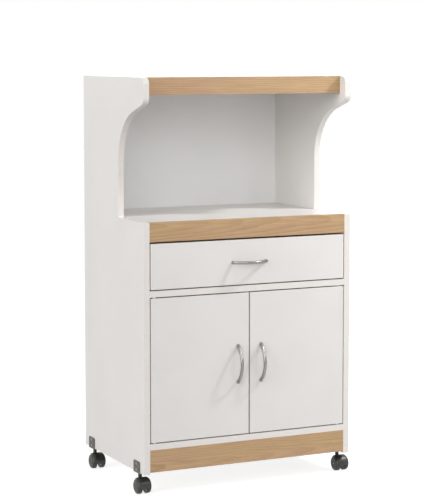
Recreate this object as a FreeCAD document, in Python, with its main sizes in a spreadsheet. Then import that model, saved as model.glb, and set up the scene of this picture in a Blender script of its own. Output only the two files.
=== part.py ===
"""Microwave stand with a drawer: open bay, drawer, two-door cupboard and four twin-wheel casters.

Frame: +Z up, the front faces -Y, X runs along the width. The origin lies on the floor, under
the middle of the stand's bounding box. Lengths are in millimetres and angles in degrees.

Every driving dimension is a cell of the sheet "Sizes". Places are expressions of those cells,
so each piece follows the sizes of what it fits in, seats on or lines up with.
"""
import FreeCAD, Part
import os
import Sketcher
from FreeCAD import Vector

doc = FreeCAD.newDocument("MicrowaveStand")

DIMENSIONS = (
    # carcass
    ("cabinet_width", 600, "width over the side panels"),
    ("panel_depth", 406, "side panel, front to back"),
    ("panel_height", 1015, "side panel, bottom to top"),
    ("board", 16, "thickness of every board"),
    ("floor_gap", 54, "floor to the side panels' bottom edges"),
    ("counter_height", 648, "panel bottom to the counter's top face"),
    ("divider_height", 473, "panel bottom to the divider board's top face"),
    ("base_height", 79, "panel bottom to the base shelf's top face"),
    # open bay between the side panels
    ("bay_setback", 167, "front plane to the bay's upright edge"),
    ("bay_curve_radius", 138, "curve from the upright edge to the head"),
    ("bay_curve_drop", 220, "panel top to the start of that curve"),
    ("bay_corner_radius", 5, "inside corner at the counter"),
    ("head_slope", 18, "rise of the head's lower edge towards the front"),
    ("head_corner_radius", 20, "head's lower front corner"),
    ("head_top_radius", 18, "head's upper front corner"),
    # wood-tone rails
    ("top_rail_height", 45, "rail under the top shelf's front"),
    ("top_rail_setback", 28, "front plane to the top rail"),
    ("counter_rail_height", 50, "rail along the counter's front"),
    ("base_rail_lift", 5, "panel bottom to the base rail"),
    # back
    ("back_inset", 6, "back panels in from the side panels' rear edges"),
    ("back_thick", 3, "hardboard back panels"),
    ("back_groove_depth", 5, "groove in each side panel"),
    ("groove_play", 0.2, "play of a thin panel in its groove"),
    ("back_end_play", 1, "back panels short of the groove's floor"),
    ("back_top_drop", 2, "upper back panel below the top shelf's face"),
    ("joint_drop", 30, "counter board's underside to the joint strip"),
    ("joint_grip", 9, "joint strip's hold on each back panel"),
    ("joint_wall", 1.2, "joint strip's plastic wall"),
    # gaps round the doors and the drawer front
    ("side_gap", 3, "door or drawer front to a side panel"),
    ("middle_gap", 4, "between the two doors"),
    ("shelf_gap", 3, "door or drawer front to the board beside it"),
    ("drawer_top_gap", 4.5, "drawer front to the counter rail"),
    # loose shelf
    ("loose_shelf_level", 266, "panel bottom to the loose shelf's underside"),
    ("loose_shelf_setback", 60, "front plane to the loose shelf"),
    ("loose_shelf_play", 1, "loose shelf to each side panel and the back"),
    ("peg_radius", 2.5, "shelf peg"),
    ("peg_depth", 8, "shelf peg in its hole"),
    ("peg_reach", 8, "shelf peg under the shelf"),
    ("peg_inset", 45, "shelf's front or rear edge to its pegs"),
    ("peg_pitch", 64, "between two rows of peg holes"),
    # bow handles
    ("handle_centres", 96, "between the two feet"),
    ("handle_rise", 26, "face to the bow's middle line"),
    ("handle_thick", 6, "bow, face side to front side"),
    ("handle_width", 8, "bow, across"),
    ("handle_chamfer", 1.5, "bow's front edges"),
    ("handle_foot_radius", 4.5, "foot on the face"),
    ("handle_foot_height", 5, "foot's straight part"),
    ("door_handle_offset", 33.5, "middle of the stand to a door handle"),
    # drawer box
    ("drawer_rear_gap", 31, "drawer and runners to the back panel"),
    ("drawer_wall", 12, "drawer side and back"),
    ("drawer_side_drop", 25, "drawer front's top edge to the drawer side's"),
    ("drawer_bottom_thick", 3, "hardboard drawer bottom"),
    ("drawer_bottom_lift", 10, "drawer side's lower edge to its groove"),
    ("drawer_groove_depth", 5, "grooves for the drawer bottom"),
    # roller runners
    ("runner_space", 12.5, "side panel to drawer side"),
    ("runner_lift", 7, "divider board to the runners"),
    ("runner_start", 20, "front plane to the cabinet runner"),
    ("runner_sheet", 1.2, "runner's steel sheet"),
    ("channel_height", 22, "inside of the cabinet runner's channel"),
    ("channel_reach", 10.6, "cabinet runner out from the side panel"),
    ("channel_mouth", 45, "length without the channel's upper flange"),
    ("track_reach", 7, "drawer runner's upper flange"),
    ("ledge_reach", 10, "drawer runner's flange under the drawer side"),
    ("front_roller_radius", 9.5, "roller on the cabinet runner"),
    ("rear_roller_radius", 10.2, "roller on the drawer runner"),
    ("roller_width", 7, "either roller"),
    ("roller_inset", 12, "runner's end to its roller's centre"),
    ("roller_play", 0.5, "front roller over the channel's floor"),
    ("rivet_radius", 2.5, "roller rivets"),
    ("running_play", 0.05, "radial play of a turning piece, and of a roller on its track"),
    ("end_play", 1, "end play of a roller on its rivet"),
    # door pivots and catch
    ("pivot_radius", 2.5, "pivot pin"),
    ("pivot_inset", 12, "door's hinged edge to the pivot"),
    ("pivot_depth", 12, "pin in the board, and in the door"),
    ("collar_radius", 5, "collar that the door turns on"),
    ("collar_play", 0.3, "door to the collar"),
    ("catch_length", 46, "double magnetic catch"),
    ("catch_depth", 13, "catch, front to back"),
    ("catch_height", 11, "catch under the divider board"),
    ("strike_length", 17, "strike plate"),
    ("strike_height", 14, "strike plate"),
    ("strike_sheet", 1.2, "strike plate's steel"),
    ("catch_play", 0.3, "shut strike plate to the catch"),
    # casters
    ("caster_inset", 48, "panel's front or rear edge to the caster stem"),
    ("caster_trail", 15, "stem to axle"),
    ("caster_width", 39.5, "over both wheels"),
    ("wheel_radius", 20, "caster wheel"),
    ("wheel_play", 0.5, "hood's web to each wheel"),
    ("wheel_dome", 6, "outer face's dome, along the axle"),
    ("wheel_dome_drop", 8, "outer face's dome, along the radius"),
    ("axle_radius", 2.5, "caster axle"),
    ("web_drop", 8.5, "axle to the web's lower edge"),
    ("web_foot", 10, "web's lower edge, front to back"),
    ("web_thick", 12, "web between the wheels"),
    ("hood_width", 28, "hood, along the axle"),
    ("hood_play", 0.8, "wheel to hood"),
    ("hood_wall", 1.6, "hood"),
    ("hood_crown", 4, "slope along the hood's two edges"),
    ("hood_edge", 0.8, "hood's thickness at its edges"),
    ("hood_angle", 196, "hood round the wheels"),
    ("stem_radius", 3.5, "stem that the hood swivels on"),
    ("stem_length", 28, "stem below the bracket"),
    ("neck_radius", 5, "hood's neck round the stem"),
    ("neck_gap", 3, "neck to bracket"),
    ("bracket_sheet", 2, "caster bracket's steel"),
    ("bracket_width", 39, "bracket's upright plate"),
    ("bracket_height", 29, "upright plate above the panel's bottom edge"),
    ("bracket_corner", 5, "upright plate's top corners"),
    ("foot_plate_width", 24, "bracket's plate under the panel"),
    ("foot_plate_reach", 22, "outer face to the plate's inner end"),
    ("bracket_screw_low", 6, "panel's bottom edge to the lower screw"),
    ("bracket_screw_pitch", 16, "between a bracket's two screws"),
    ("screw_radius", 1.75, "bracket screw's shank"),
    ("screw_head_radius", 3.5, "bracket screw's head"),
    ("screw_head_height", 1.8, "bracket screw's head"),
    ("screw_length", 12, "bracket screw under its head"),
)

sheet = doc.addObject("Spreadsheet::Sheet", "Sizes")
for row, (alias, size, meaning) in enumerate(DIMENSIONS, start=1):
    sheet.set(f"A{row}", meaning)
    sheet.set(f"B{row}", str(size))
    sheet.setAlias(f"B{row}", alias)
doc.recompute()

# ---- places, as expressions of the sheet's cells --------------------------------------------

HALF_WIDTH = "Sizes.cabinet_width / 2"
INSIDE = f"({HALF_WIDTH} - Sizes.board)"
HANDLE_REACH = "(Sizes.handle_rise + Sizes.handle_thick / 2)"
FRONT = f"(({HANDLE_REACH} - Sizes.panel_depth) / 2)"
REAR = f"({FRONT} + Sizes.panel_depth)"
BEHIND_FRONTS = f"({FRONT} + Sizes.board)"
BACK_FACE = f"({REAR} - Sizes.back_inset - Sizes.back_thick)"
BOTTOM = "Sizes.floor_gap"
TOP = "(Sizes.floor_gap + Sizes.panel_height)"
COUNTER_TOP = "(Sizes.floor_gap + Sizes.counter_height)"
COUNTER_UNDERSIDE = f"({COUNTER_TOP} - Sizes.board)"
DIVIDER_TOP = "(Sizes.floor_gap + Sizes.divider_height)"
DIVIDER_UNDERSIDE = f"({DIVIDER_TOP} - Sizes.board)"
BASE_TOP = "(Sizes.floor_gap + Sizes.base_height)"
BASE_UNDERSIDE = f"({BASE_TOP} - Sizes.board)"
TOP_UNDERSIDE = f"({TOP} - Sizes.board)"
DOOR_BOTTOM = f"({BASE_TOP} + Sizes.shelf_gap)"
DOOR_TOP = f"({DIVIDER_UNDERSIDE} - Sizes.shelf_gap)"
DOOR_OUTER = f"({INSIDE} - Sizes.side_gap)"
DOOR_INNER = "(Sizes.middle_gap / 2)"
LOOSE_SHELF_BOTTOM = "(Sizes.floor_gap + Sizes.loose_shelf_level)"
PEG_CENTRE = f"({LOOSE_SHELF_BOTTOM} - Sizes.peg_radius)"
DRAWER_FRONT_BOTTOM = f"({DIVIDER_TOP} + Sizes.shelf_gap)"
DRAWER_FRONT_TOP = f"({COUNTER_TOP} - Sizes.counter_rail_height - Sizes.drawer_top_gap)"
DRAWER_SIDE_FACE = f"({INSIDE} - Sizes.runner_space)"
RUNNER_BOTTOM = f"({DIVIDER_TOP} + Sizes.runner_lift)"
DRAWER_SIDE_BOTTOM = f"({RUNNER_BOTTOM} + Sizes.runner_sheet)"
DRAWER_SIDE_TOP = f"({DRAWER_FRONT_TOP} - Sizes.drawer_side_drop)"
DRAWER_REAR = f"({BACK_FACE} - Sizes.drawer_rear_gap)"
RUNNER_LENGTH = f"({DRAWER_REAR} - {BEHIND_FRONTS})"
DRAWER_GROOVE = f"({DRAWER_SIDE_BOTTOM} + Sizes.drawer_bottom_lift)"
PIVOT_X = f"({DOOR_OUTER} - Sizes.pivot_inset)"
PIVOT_Y = f"({FRONT} + Sizes.board / 2)"
# the bay's curve meets the head's sloping lower edge, which runs on to the panel's front edge
CURVE_END_Y = ("(Sizes.bay_setback - Sizes.bay_curve_radius"
               " + Sizes.bay_curve_radius * sin(Sizes.head_slope))")
CURVE_START_Z = "(Sizes.panel_height - Sizes.bay_curve_drop)"
CURVE_END_Z = f"({CURVE_START_Z} + Sizes.bay_curve_radius * cos(Sizes.head_slope))"
HEAD_CORNER_Z = f"({CURVE_END_Z} + tan(Sizes.head_slope) * {CURVE_END_Y})"
CASTER_X = f"({HALF_WIDTH} - Sizes.board / 2)"
CASTER_FRONT = f"({FRONT} + Sizes.caster_inset)"
CASTER_REAR = f"({REAR} - Sizes.caster_inset)"

LEFT, RIGHT = -1, 1
SIDES = (("left", LEFT), ("right", RIGHT))
CUT_MARGIN = 20  # how far a cutting outline reaches past the edge that it cuts
PEG_ROWS = 3  # rows of peg holes, the loose shelf on the middle one


def number(expression):
    """The value of an expression of the sheet's cells."""
    return float(sheet.evalExpression(expression))


def across(side, inner, outer):
    """The low and high X of what lies from inner to outer on one side of the middle."""
    if side == RIGHT:
        return inner, outer
    return f"-({outer})", f"-({inner})"


# ---- features -------------------------------------------------------------------------------

nodes = {}


def keep(label, piece):
    """Names a finished sub-part and lists it for export."""
    piece.Label = label
    nodes[label] = piece
    return piece


def box(x, y, z, name="Board"):
    """A Part::Box from (low, high) pairs of expressions along X, Y and Z."""
    piece = doc.addObject("Part::Box", name)
    for size, axis, (low, high) in zip(("Length", "Width", "Height"), "xyz", (x, y, z)):
        piece.setExpression(size, f"({high}) - ({low})")
        piece.setExpression(f".Placement.Base.{axis}", low)
    return piece


def cut(base, *tools):
    """What is left of base when the tools are taken away, one after another."""
    for tool in tools:
        result = doc.addObject("Part::Cut", "Cut")
        result.Base = base
        result.Tool = tool
        base = result
    return base


def new_body(label, x, y, z):
    """A PartDesign body whose own origin is at the place that three expressions give."""
    body = keep(label, doc.addObject("PartDesign::Body", "Body"))
    for axis, place in zip("xyz", (x, y, z)):
        body.setExpression(f".Placement.Base.{axis}", place)
    return body


def new_sketch(body, plane, height=None):
    """A sketch on one of the body's origin planes, or at a height along that plane's normal.

    A sketch on XZ_Plane has its normal along -Y; on XY_Plane it is +Z and on YZ_Plane +X.
    """
    sketch = body.newObject("Sketcher::SketchObject", "Sketch")
    support = next(part for part in body.Origin.OriginFeatures if part.Role == plane)
    sketch.AttachmentSupport = [(support, "")]
    sketch.MapMode = "FlatFace"
    if height is not None:
        sketch.setExpression(".AttachmentOffset.Base.z", height)
    return sketch


def pin_point(sketch, geometry, position, x, y):
    """Ties a point of a sketch to the place that two expressions give."""
    for kind, axis, place in (("DistanceX", -2, x), ("DistanceY", -1, y)):
        if place == "0":
            sketch.addConstraint(Sketcher.Constraint("PointOnObject", geometry, position, axis))
            continue
        index = sketch.addConstraint(
            Sketcher.Constraint(kind, -1, 1, geometry, position, number(place)))
        sketch.setExpression(f"Constraints[{index}]", place)


def outline(sketch, points):
    """A closed outline of straight edges through (x, y) pairs of expressions."""
    corners = [Vector(number(x), number(y), 0) for x, y in points]
    first = sketch.GeometryCount
    edges = [Part.LineSegment(start, end) for start, end in zip(corners, corners[1:] + corners[:1])]
    sketch.addGeometry(edges, False)
    last = first + len(points) - 1
    for edge, (x, y) in zip(range(first, last + 1), points):
        follower = edge + 1 if edge < last else first
        sketch.addConstraint(Sketcher.Constraint("Coincident", edge, 2, follower, 1))
        pin_point(sketch, edge, 1, x, y)


def rectangle(sketch, x, y):
    """A closed rectangle from (low, high) pairs of expressions."""
    outline(sketch, [(x[0], y[0]), (x[1], y[0]), (x[1], y[1]), (x[0], y[1])])


def circle(sketch, x, y, radius):
    """A circle whose centre and radius are expressions."""
    centre = Vector(number(x), number(y), 0)
    index = sketch.addGeometry(Part.Circle(centre, Vector(0, 0, 1), number(radius)), False)
    size = sketch.addConstraint(Sketcher.Constraint("Radius", index, number(radius)))
    sketch.setExpression(f"Constraints[{size}]", radius)
    pin_point(sketch, index, 3, x, y)


def pad(body, sketch, length, backwards=False):
    """Material from the sketch along its normal, or against it."""
    feature = body.newObject("PartDesign::Pad", "Pad")
    feature.Profile = sketch
    feature.Reversed = backwards
    feature.setExpression("Length", length)
    return feature


def pocket(body, sketch, depth=None, along=False):
    """A cut from the sketch against its normal, or along it. No depth cuts right through."""
    feature = body.newObject("PartDesign::Pocket", "Pocket")
    feature.Profile = sketch
    feature.Reversed = along
    if depth is None:
        feature.Type = "ThroughAll"
    else:
        feature.setExpression("Length", depth)
    return feature


def revolution(body, sketch, angle="360"):
    """Material turned about the sketch's own horizontal axis, half the angle each way."""
    feature = body.newObject("PartDesign::Revolution", "Revolution")
    feature.Profile = sketch
    feature.ReferenceAxis = (sketch, ["H_Axis"])
    feature.Midplane = True
    feature.setExpression("Angle", angle)
    return feature


def fillet(body, corners, radius):
    """Rounds the edges that run along X through (y, z) places of the body's own frame."""
    doc.recompute()
    base = body.Tip
    names = []
    for index, edge in enumerate(base.Shape.Edges, start=1):
        ends = [vertex.Point for vertex in edge.Vertexes]
        if len(ends) != 2 or abs(ends[0].y - ends[1].y) + abs(ends[0].z - ends[1].z) > 1e-3:
            continue
        if any(abs(ends[0].y - y) + abs(ends[0].z - z) < 1e-2 for y, z in corners):
            names.append(f"Edge{index}")
    feature = body.newObject("PartDesign::Fillet", "Fillet")
    feature.Base = (base, names)
    feature.setExpression("Radius", radius)
    return feature


# ---- carcass --------------------------------------------------------------------------------


def bay_notch(sketch):
    """The bay's cut in a side panel: level, upright, curved to the head, then sloped forwards."""
    level, setback = "Sizes.counter_height", "Sizes.bay_setback"
    start, radius, slope = CURVE_START_Z, "Sizes.bay_curve_radius", "Sizes.head_slope"
    head_z = number(f"{HEAD_CORNER_Z} + tan({slope}) * {CUT_MARGIN}")
    corners = [
        Vector(-CUT_MARGIN, number(level), 0),
        Vector(number(setback), number(level), 0),
        Vector(number(setback), number(start), 0),
        Vector(number(CURVE_END_Y), number(CURVE_END_Z), 0),
        Vector(-CUT_MARGIN, head_z, 0),
    ]
    centre = Vector(number(f"{setback} - {radius}"), number(start), 0)
    turn = number(f"(90 - {slope}) * pi / 180")
    curve = Part.ArcOfCircle(Part.Circle(centre, Vector(0, 0, 1), number(radius)), 0, turn)
    sketch.addGeometry([
        Part.LineSegment(corners[0], corners[1]),
        Part.LineSegment(corners[1], corners[2]),
        curve,
        Part.LineSegment(corners[3], corners[4]),
        Part.LineSegment(corners[4], corners[0]),
    ], False)
    level_edge, upright_edge, curved_edge, sloped_edge, outer_edge = range(5)
    for relation in (
        ("Coincident", level_edge, 2, upright_edge, 1),
        ("Tangent", upright_edge, 2, curved_edge, 1),
        ("Tangent", curved_edge, 2, sloped_edge, 1),
        ("Coincident", sloped_edge, 2, outer_edge, 1),
        ("Coincident", outer_edge, 2, level_edge, 1),
        ("Horizontal", level_edge),
        ("Vertical", upright_edge),
        ("Vertical", outer_edge),
    ):
        sketch.addConstraint(Sketcher.Constraint(*relation))
    for kind, place, expression in (
        ("Radius", (curved_edge,), radius),
        ("DistanceX", (-1, 1, level_edge, 1), f"-{CUT_MARGIN}"),
        ("DistanceY", (-1, 1, level_edge, 1), level),
        ("DistanceX", (-1, 1, upright_edge, 1), setback),
        ("DistanceY", (-1, 1, upright_edge, 2), start),
    ):
        index = sketch.addConstraint(Sketcher.Constraint(kind, *place, number(expression)))
        sketch.setExpression(f"Constraints[{index}]", expression)
    heading = number(f"(180 - {slope}) * pi / 180")
    index = sketch.addConstraint(Sketcher.Constraint("Angle", sloped_edge, heading))
    sketch.setExpression(f"Constraints[{index}]", f"(180 - {slope}) * 1deg")


def side_panel(label, side):
    """A side panel: outline, bay cut, rounded corners, back groove and two columns of peg holes."""
    low_x, _ = across(side, INSIDE, HALF_WIDTH)
    body = new_body(label, low_x, FRONT, BOTTOM)
    inner_face = "Sizes.board" if side == LEFT else None
    into_panel = side == RIGHT

    sketch = new_sketch(body, "YZ_Plane")
    rectangle(sketch, ("0", "Sizes.panel_depth"), ("0", "Sizes.panel_height"))
    pad(body, sketch, "Sizes.board")

    sketch = new_sketch(body, "YZ_Plane")
    bay_notch(sketch)
    pocket(body, sketch, along=True)

    fillet(body, [(0, number(HEAD_CORNER_Z))], "Sizes.head_corner_radius")
    fillet(body, [(0, number("Sizes.panel_height"))], "Sizes.head_top_radius")
    inside_corner = (number("Sizes.bay_setback"), number("Sizes.counter_height"))
    fillet(body, [inside_corner], "Sizes.bay_corner_radius")

    sketch = new_sketch(body, "YZ_Plane", inner_face)
    groove = f"({BACK_FACE} - {FRONT} - Sizes.groove_play / 2)"
    groove_end = f"({groove} + Sizes.back_thick + Sizes.groove_play)"
    groove_foot = f"({BASE_UNDERSIDE} - {BOTTOM})"
    above_panel = f"(Sizes.panel_height + {CUT_MARGIN})"
    rectangle(sketch, (groove, groove_end), (groove_foot, above_panel))
    pocket(body, sketch, "Sizes.back_groove_depth", along=into_panel)

    sketch = new_sketch(body, "YZ_Plane", inner_face)
    lowest_row = f"({PEG_CENTRE} - {BOTTOM} - Sizes.peg_pitch)"
    for column in peg_columns():
        circle(sketch, f"({column} - {FRONT})", lowest_row, "Sizes.peg_radius")
    holes = pocket(body, sketch, "Sizes.peg_depth", along=into_panel)
    rows = body.newObject("PartDesign::LinearPattern", "PegRows")
    rows.Originals = [holes]
    rows.Direction = (sketch, ["V_Axis"])
    rows.Occurrences = PEG_ROWS
    rows.setExpression("Length", f"{PEG_ROWS - 1} * Sizes.peg_pitch")
    body.Tip = rows


def peg_columns():
    """Y of the front and the rear column of shelf pegs."""
    front = f"({FRONT} + Sizes.loose_shelf_setback + Sizes.peg_inset)"
    rear = f"({BACK_FACE} - Sizes.loose_shelf_play - Sizes.peg_inset)"
    return front, rear


def board_with_pivots(label, z, upwards):
    """A board across the stand, drilled near its front corners for the doors' pivot pins."""
    body = new_body(label, f"-{INSIDE}", FRONT, z[0])
    sketch = new_sketch(body, "XY_Plane")
    rectangle(sketch, ("0", f"(2 * {INSIDE})"), ("0", f"({BACK_FACE} - {FRONT})"))
    pad(body, sketch, "Sizes.board")
    sketch = new_sketch(body, "XY_Plane", "Sizes.board" if upwards else None)
    for pivot in (f"({INSIDE} - {PIVOT_X})", f"({INSIDE} + {PIVOT_X})"):
        circle(sketch, pivot, f"({PIVOT_Y} - {FRONT})", "Sizes.pivot_radius")
    pocket(body, sketch, "Sizes.pivot_depth", along=not upwards)


def carcass():
    """Side panels, boards, rails, backs, loose shelf and its pegs."""
    for name, side in SIDES:
        side_panel(f"{name}_side_panel", side)

    width = (f"-{INSIDE}", INSIDE)
    top_rail = (f"({FRONT} + Sizes.top_rail_setback)",
                f"({FRONT} + Sizes.top_rail_setback + Sizes.board)")
    flush_rail = (FRONT, BEHIND_FRONTS)
    keep("top_shelf", box(width, (top_rail[1], BACK_FACE), (TOP_UNDERSIDE, TOP)))
    keep("counter_board",
         box(width, (BEHIND_FRONTS, BACK_FACE), (COUNTER_UNDERSIDE, COUNTER_TOP)))
    board_with_pivots("divider_board", (DIVIDER_UNDERSIDE, DIVIDER_TOP), upwards=False)
    board_with_pivots("base_shelf", (BASE_UNDERSIDE, BASE_TOP), upwards=True)
    keep("top_rail", box(width, top_rail, (f"({TOP} - Sizes.top_rail_height)", TOP)))
    keep("counter_rail",
         box(width, flush_rail, (f"({COUNTER_TOP} - Sizes.counter_rail_height)", COUNTER_TOP)))
    keep("base_rail",
         box(width, flush_rail, (f"({BOTTOM} + Sizes.base_rail_lift)", BASE_UNDERSIDE)))

    back_edge = f"({INSIDE} + Sizes.back_groove_depth - Sizes.back_end_play)"
    back_width = (f"-{back_edge}", back_edge)
    back = (BACK_FACE, f"({BACK_FACE} + Sizes.back_thick)")
    joint = f"({COUNTER_UNDERSIDE} - Sizes.joint_drop)"
    half_web = "Sizes.joint_wall / 2"
    keep("upper_back_panel",
         box(back_width, back, (f"({joint} + {half_web})", f"({TOP} - Sizes.back_top_drop)")))
    keep("lower_back_panel", box(back_width, back, (BASE_UNDERSIDE, f"({joint} - {half_web})")))
    joint_strip(joint)

    shelf_side = f"({INSIDE} - Sizes.loose_shelf_play)"
    keep("loose_shelf", box(
        (f"-{shelf_side}", shelf_side),
        (f"({FRONT} + Sizes.loose_shelf_setback)", f"({BACK_FACE} - Sizes.loose_shelf_play)"),
        (LOOSE_SHELF_BOTTOM, f"({LOOSE_SHELF_BOTTOM} + Sizes.board)")))
    pegs = [
        rod_along_x(across(side, f"({INSIDE} - Sizes.peg_reach)", f"({INSIDE} + Sizes.peg_depth)"),
                    column, PEG_CENTRE, "Sizes.peg_radius")
        for _, side in SIDES for column in peg_columns()
    ]
    keep("shelf_pegs", group(pegs))


def joint_strip(level):
    """The H-section plastic strip that joins the two back panels behind the drawer."""
    body = new_body("back_joint_strip", f"-{INSIDE}", BACK_FACE, level)
    sketch = new_sketch(body, "YZ_Plane")
    wall, grip = "Sizes.joint_wall", "Sizes.joint_grip"
    half_web, rear = f"({wall} / 2)", "Sizes.back_thick"
    outline(sketch, [
        (f"-{wall}", f"-{grip}"), ("0", f"-{grip}"), ("0", f"-{half_web}"),
        (rear, f"-{half_web}"), (rear, f"-{grip}"), (f"({rear} + {wall})", f"-{grip}"),
        (f"({rear} + {wall})", grip), (rear, grip), (rear, half_web),
        ("0", half_web), ("0", grip), (f"-{wall}", grip),
    ])
    pad(body, sketch, f"(2 * {INSIDE})")


def rod_along_x(x, y, z, radius):
    """A round rod along X from a (low, high) pair of expressions."""
    rod = doc.addObject("Part::Cylinder", "Rod")
    rod.Placement.Rotation = FreeCAD.Rotation(Vector(0, 1, 0), 90)
    rod.setExpression("Radius", radius)
    rod.setExpression("Height", f"({x[1]}) - ({x[0]})")
    for axis, place in zip("xyz", (x[0], y, z)):
        rod.setExpression(f".Placement.Base.{axis}", place)
    return rod


def group(members):
    """Separate solids that make up one node."""
    compound = doc.addObject("Part::Compound", "Group")
    compound.Links = members
    return compound


# ---- handles --------------------------------------------------------------------------------


def bow_handle(label, x, z, upright):
    """A bow handle on a face at the front plane: a bent bar between two round feet.

    The bar is a bevelled section turned about an axis behind the face. In the body's own
    frame the handle runs along Z and stands out towards -Y.
    """
    body = new_body(label, x, FRONT, z)
    if not upright:
        body.Placement.Rotation = FreeCAD.Rotation(Vector(0, 1, 0), 90)
    half_span, rise = "(Sizes.handle_centres / 2)", "Sizes.handle_rise"
    bend = f"(({half_span}^2 + {rise}^2) / (2 * {rise}))"
    inner, outer = f"({bend} - Sizes.handle_thick / 2)", f"({bend} + Sizes.handle_thick / 2)"
    edge, bevel = "(Sizes.handle_width / 2)", "Sizes.handle_chamfer"

    sketch = new_sketch(body, "XY_Plane")
    sketch.setExpression(".AttachmentOffset.Base.y", f"{bend} - {rise}")
    outline(sketch, [
        (f"-{edge}", f"-{inner}"), (f"-{edge}", f"-({outer} - {bevel})"),
        (f"-({edge} - {bevel})", f"-{outer}"), (f"({edge} - {bevel})", f"-{outer}"),
        (edge, f"-({outer} - {bevel})"), (edge, f"-{inner}"),
    ])
    reach = f"(2 * acos(({bend} - {rise}) / {outer}))"
    revolution(body, sketch, reach)

    sketch = new_sketch(body, "XZ_Plane")
    for foot in (half_span, f"-{half_span}"):
        circle(sketch, "0", foot, "Sizes.handle_foot_radius")
    pad(body, sketch, "Sizes.handle_foot_height")

    sketch = new_sketch(body, "XZ_Plane")
    wide, long = "(2 * Sizes.handle_width)", "Sizes.handle_centres"
    rectangle(sketch, (f"-{wide}", wide), (f"-{long}", long))
    pocket(body, sketch)


# ---- drawer ---------------------------------------------------------------------------------


def drawer():
    """Drawer front with its handle, drawer box, runners and rollers."""
    inner_face = f"({DRAWER_SIDE_FACE} - Sizes.drawer_wall)"
    groove = (f"({DRAWER_GROOVE} - Sizes.groove_play / 2)",
              f"({DRAWER_GROOVE} + Sizes.drawer_bottom_thick + Sizes.groove_play / 2)")
    bottom_edge = f"({inner_face} + Sizes.drawer_groove_depth - Sizes.groove_play)"
    bottom_front = f"({BEHIND_FRONTS} - Sizes.drawer_groove_depth + Sizes.groove_play)"

    front = box((f"-{DOOR_OUTER}", DOOR_OUTER), (FRONT, BEHIND_FRONTS),
                (DRAWER_FRONT_BOTTOM, DRAWER_FRONT_TOP))
    groove_side = f"({inner_face} + Sizes.drawer_groove_depth)"
    front_groove = box((f"-{groove_side}", groove_side),
                       (f"({BEHIND_FRONTS} - Sizes.drawer_groove_depth)",
                        f"({BEHIND_FRONTS} + {CUT_MARGIN})"), groove, "Groove")
    keep("drawer_front", cut(front, front_groove))
    bow_handle("drawer_handle", "0", f"({DRAWER_FRONT_BOTTOM} + {DRAWER_FRONT_TOP}) / 2", False)

    for name, side in SIDES:
        wall = box(across(side, inner_face, DRAWER_SIDE_FACE), (BEHIND_FRONTS, DRAWER_REAR),
                   (DRAWER_SIDE_BOTTOM, DRAWER_SIDE_TOP))
        side_groove = box(across(side, f"({inner_face} - {CUT_MARGIN})", groove_side),
                          (f"({BEHIND_FRONTS} - {CUT_MARGIN})", f"({DRAWER_REAR} + {CUT_MARGIN})"),
                          groove, "Groove")
        keep(f"drawer_{name}_side", cut(wall, side_groove))
        cabinet_runner(name, side)
        drawer_runner(name, side)

    keep("drawer_back", box(
        (f"-{inner_face}", inner_face), (f"({DRAWER_REAR} - Sizes.drawer_wall)", DRAWER_REAR),
        (groove[1], DRAWER_SIDE_TOP)))
    keep("drawer_bottom", box(
        (f"-{bottom_edge}", bottom_edge), (bottom_front, DRAWER_REAR),
        (DRAWER_GROOVE, f"({DRAWER_GROOVE} + Sizes.drawer_bottom_thick)")))


def signed(side, points):
    """Sketch points with their X measured outwards from the middle of the stand."""
    return [(f"{side} * {x}", y) for x, y in points]


def cabinet_runner(name, side):
    """A steel channel on the side panel, its upper flange cut back at the mouth, with a rivet."""
    wall = "Sizes.runner_sheet"
    start = f"({FRONT} + Sizes.runner_start)"
    body = new_body(f"{name}_cabinet_runner", "0", start, RUNNER_BOTTOM)
    web, lip = f"({INSIDE} - {wall})", f"({INSIDE} - Sizes.channel_reach)"
    roof = f"({wall} + Sizes.channel_height)"
    sketch = new_sketch(body, "XZ_Plane")
    outline(sketch, signed(side, [
        (INSIDE, "0"), (lip, "0"), (lip, wall), (web, wall),
        (web, roof), (lip, roof), (lip, f"({roof} + {wall})"), (INSIDE, f"({roof} + {wall})"),
    ]))
    pad(body, sketch, RUNNER_LENGTH, backwards=True)
    sketch = new_sketch(body, "XZ_Plane")
    mouth = f"({roof} - {wall})"
    rectangle(sketch, across(side, f"({lip} - {CUT_MARGIN})", web),
              (mouth, f"({roof} + {CUT_MARGIN})"))
    pocket(body, sketch, "Sizes.channel_mouth")
    roller_centre = f"({wall} + Sizes.roller_play + Sizes.front_roller_radius)"
    rivet_end = f"({INSIDE} - Sizes.channel_reach)"
    rivet(body, side, web, rivet_end, "Sizes.roller_inset", roller_centre)
    middle = f"(({web} + {rivet_end}) / 2)"
    roller(f"{name}_front_roller", side, middle, f"({start} + Sizes.roller_inset)",
           f"({RUNNER_BOTTOM} + {roller_centre})", "Sizes.front_roller_radius")


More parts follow.
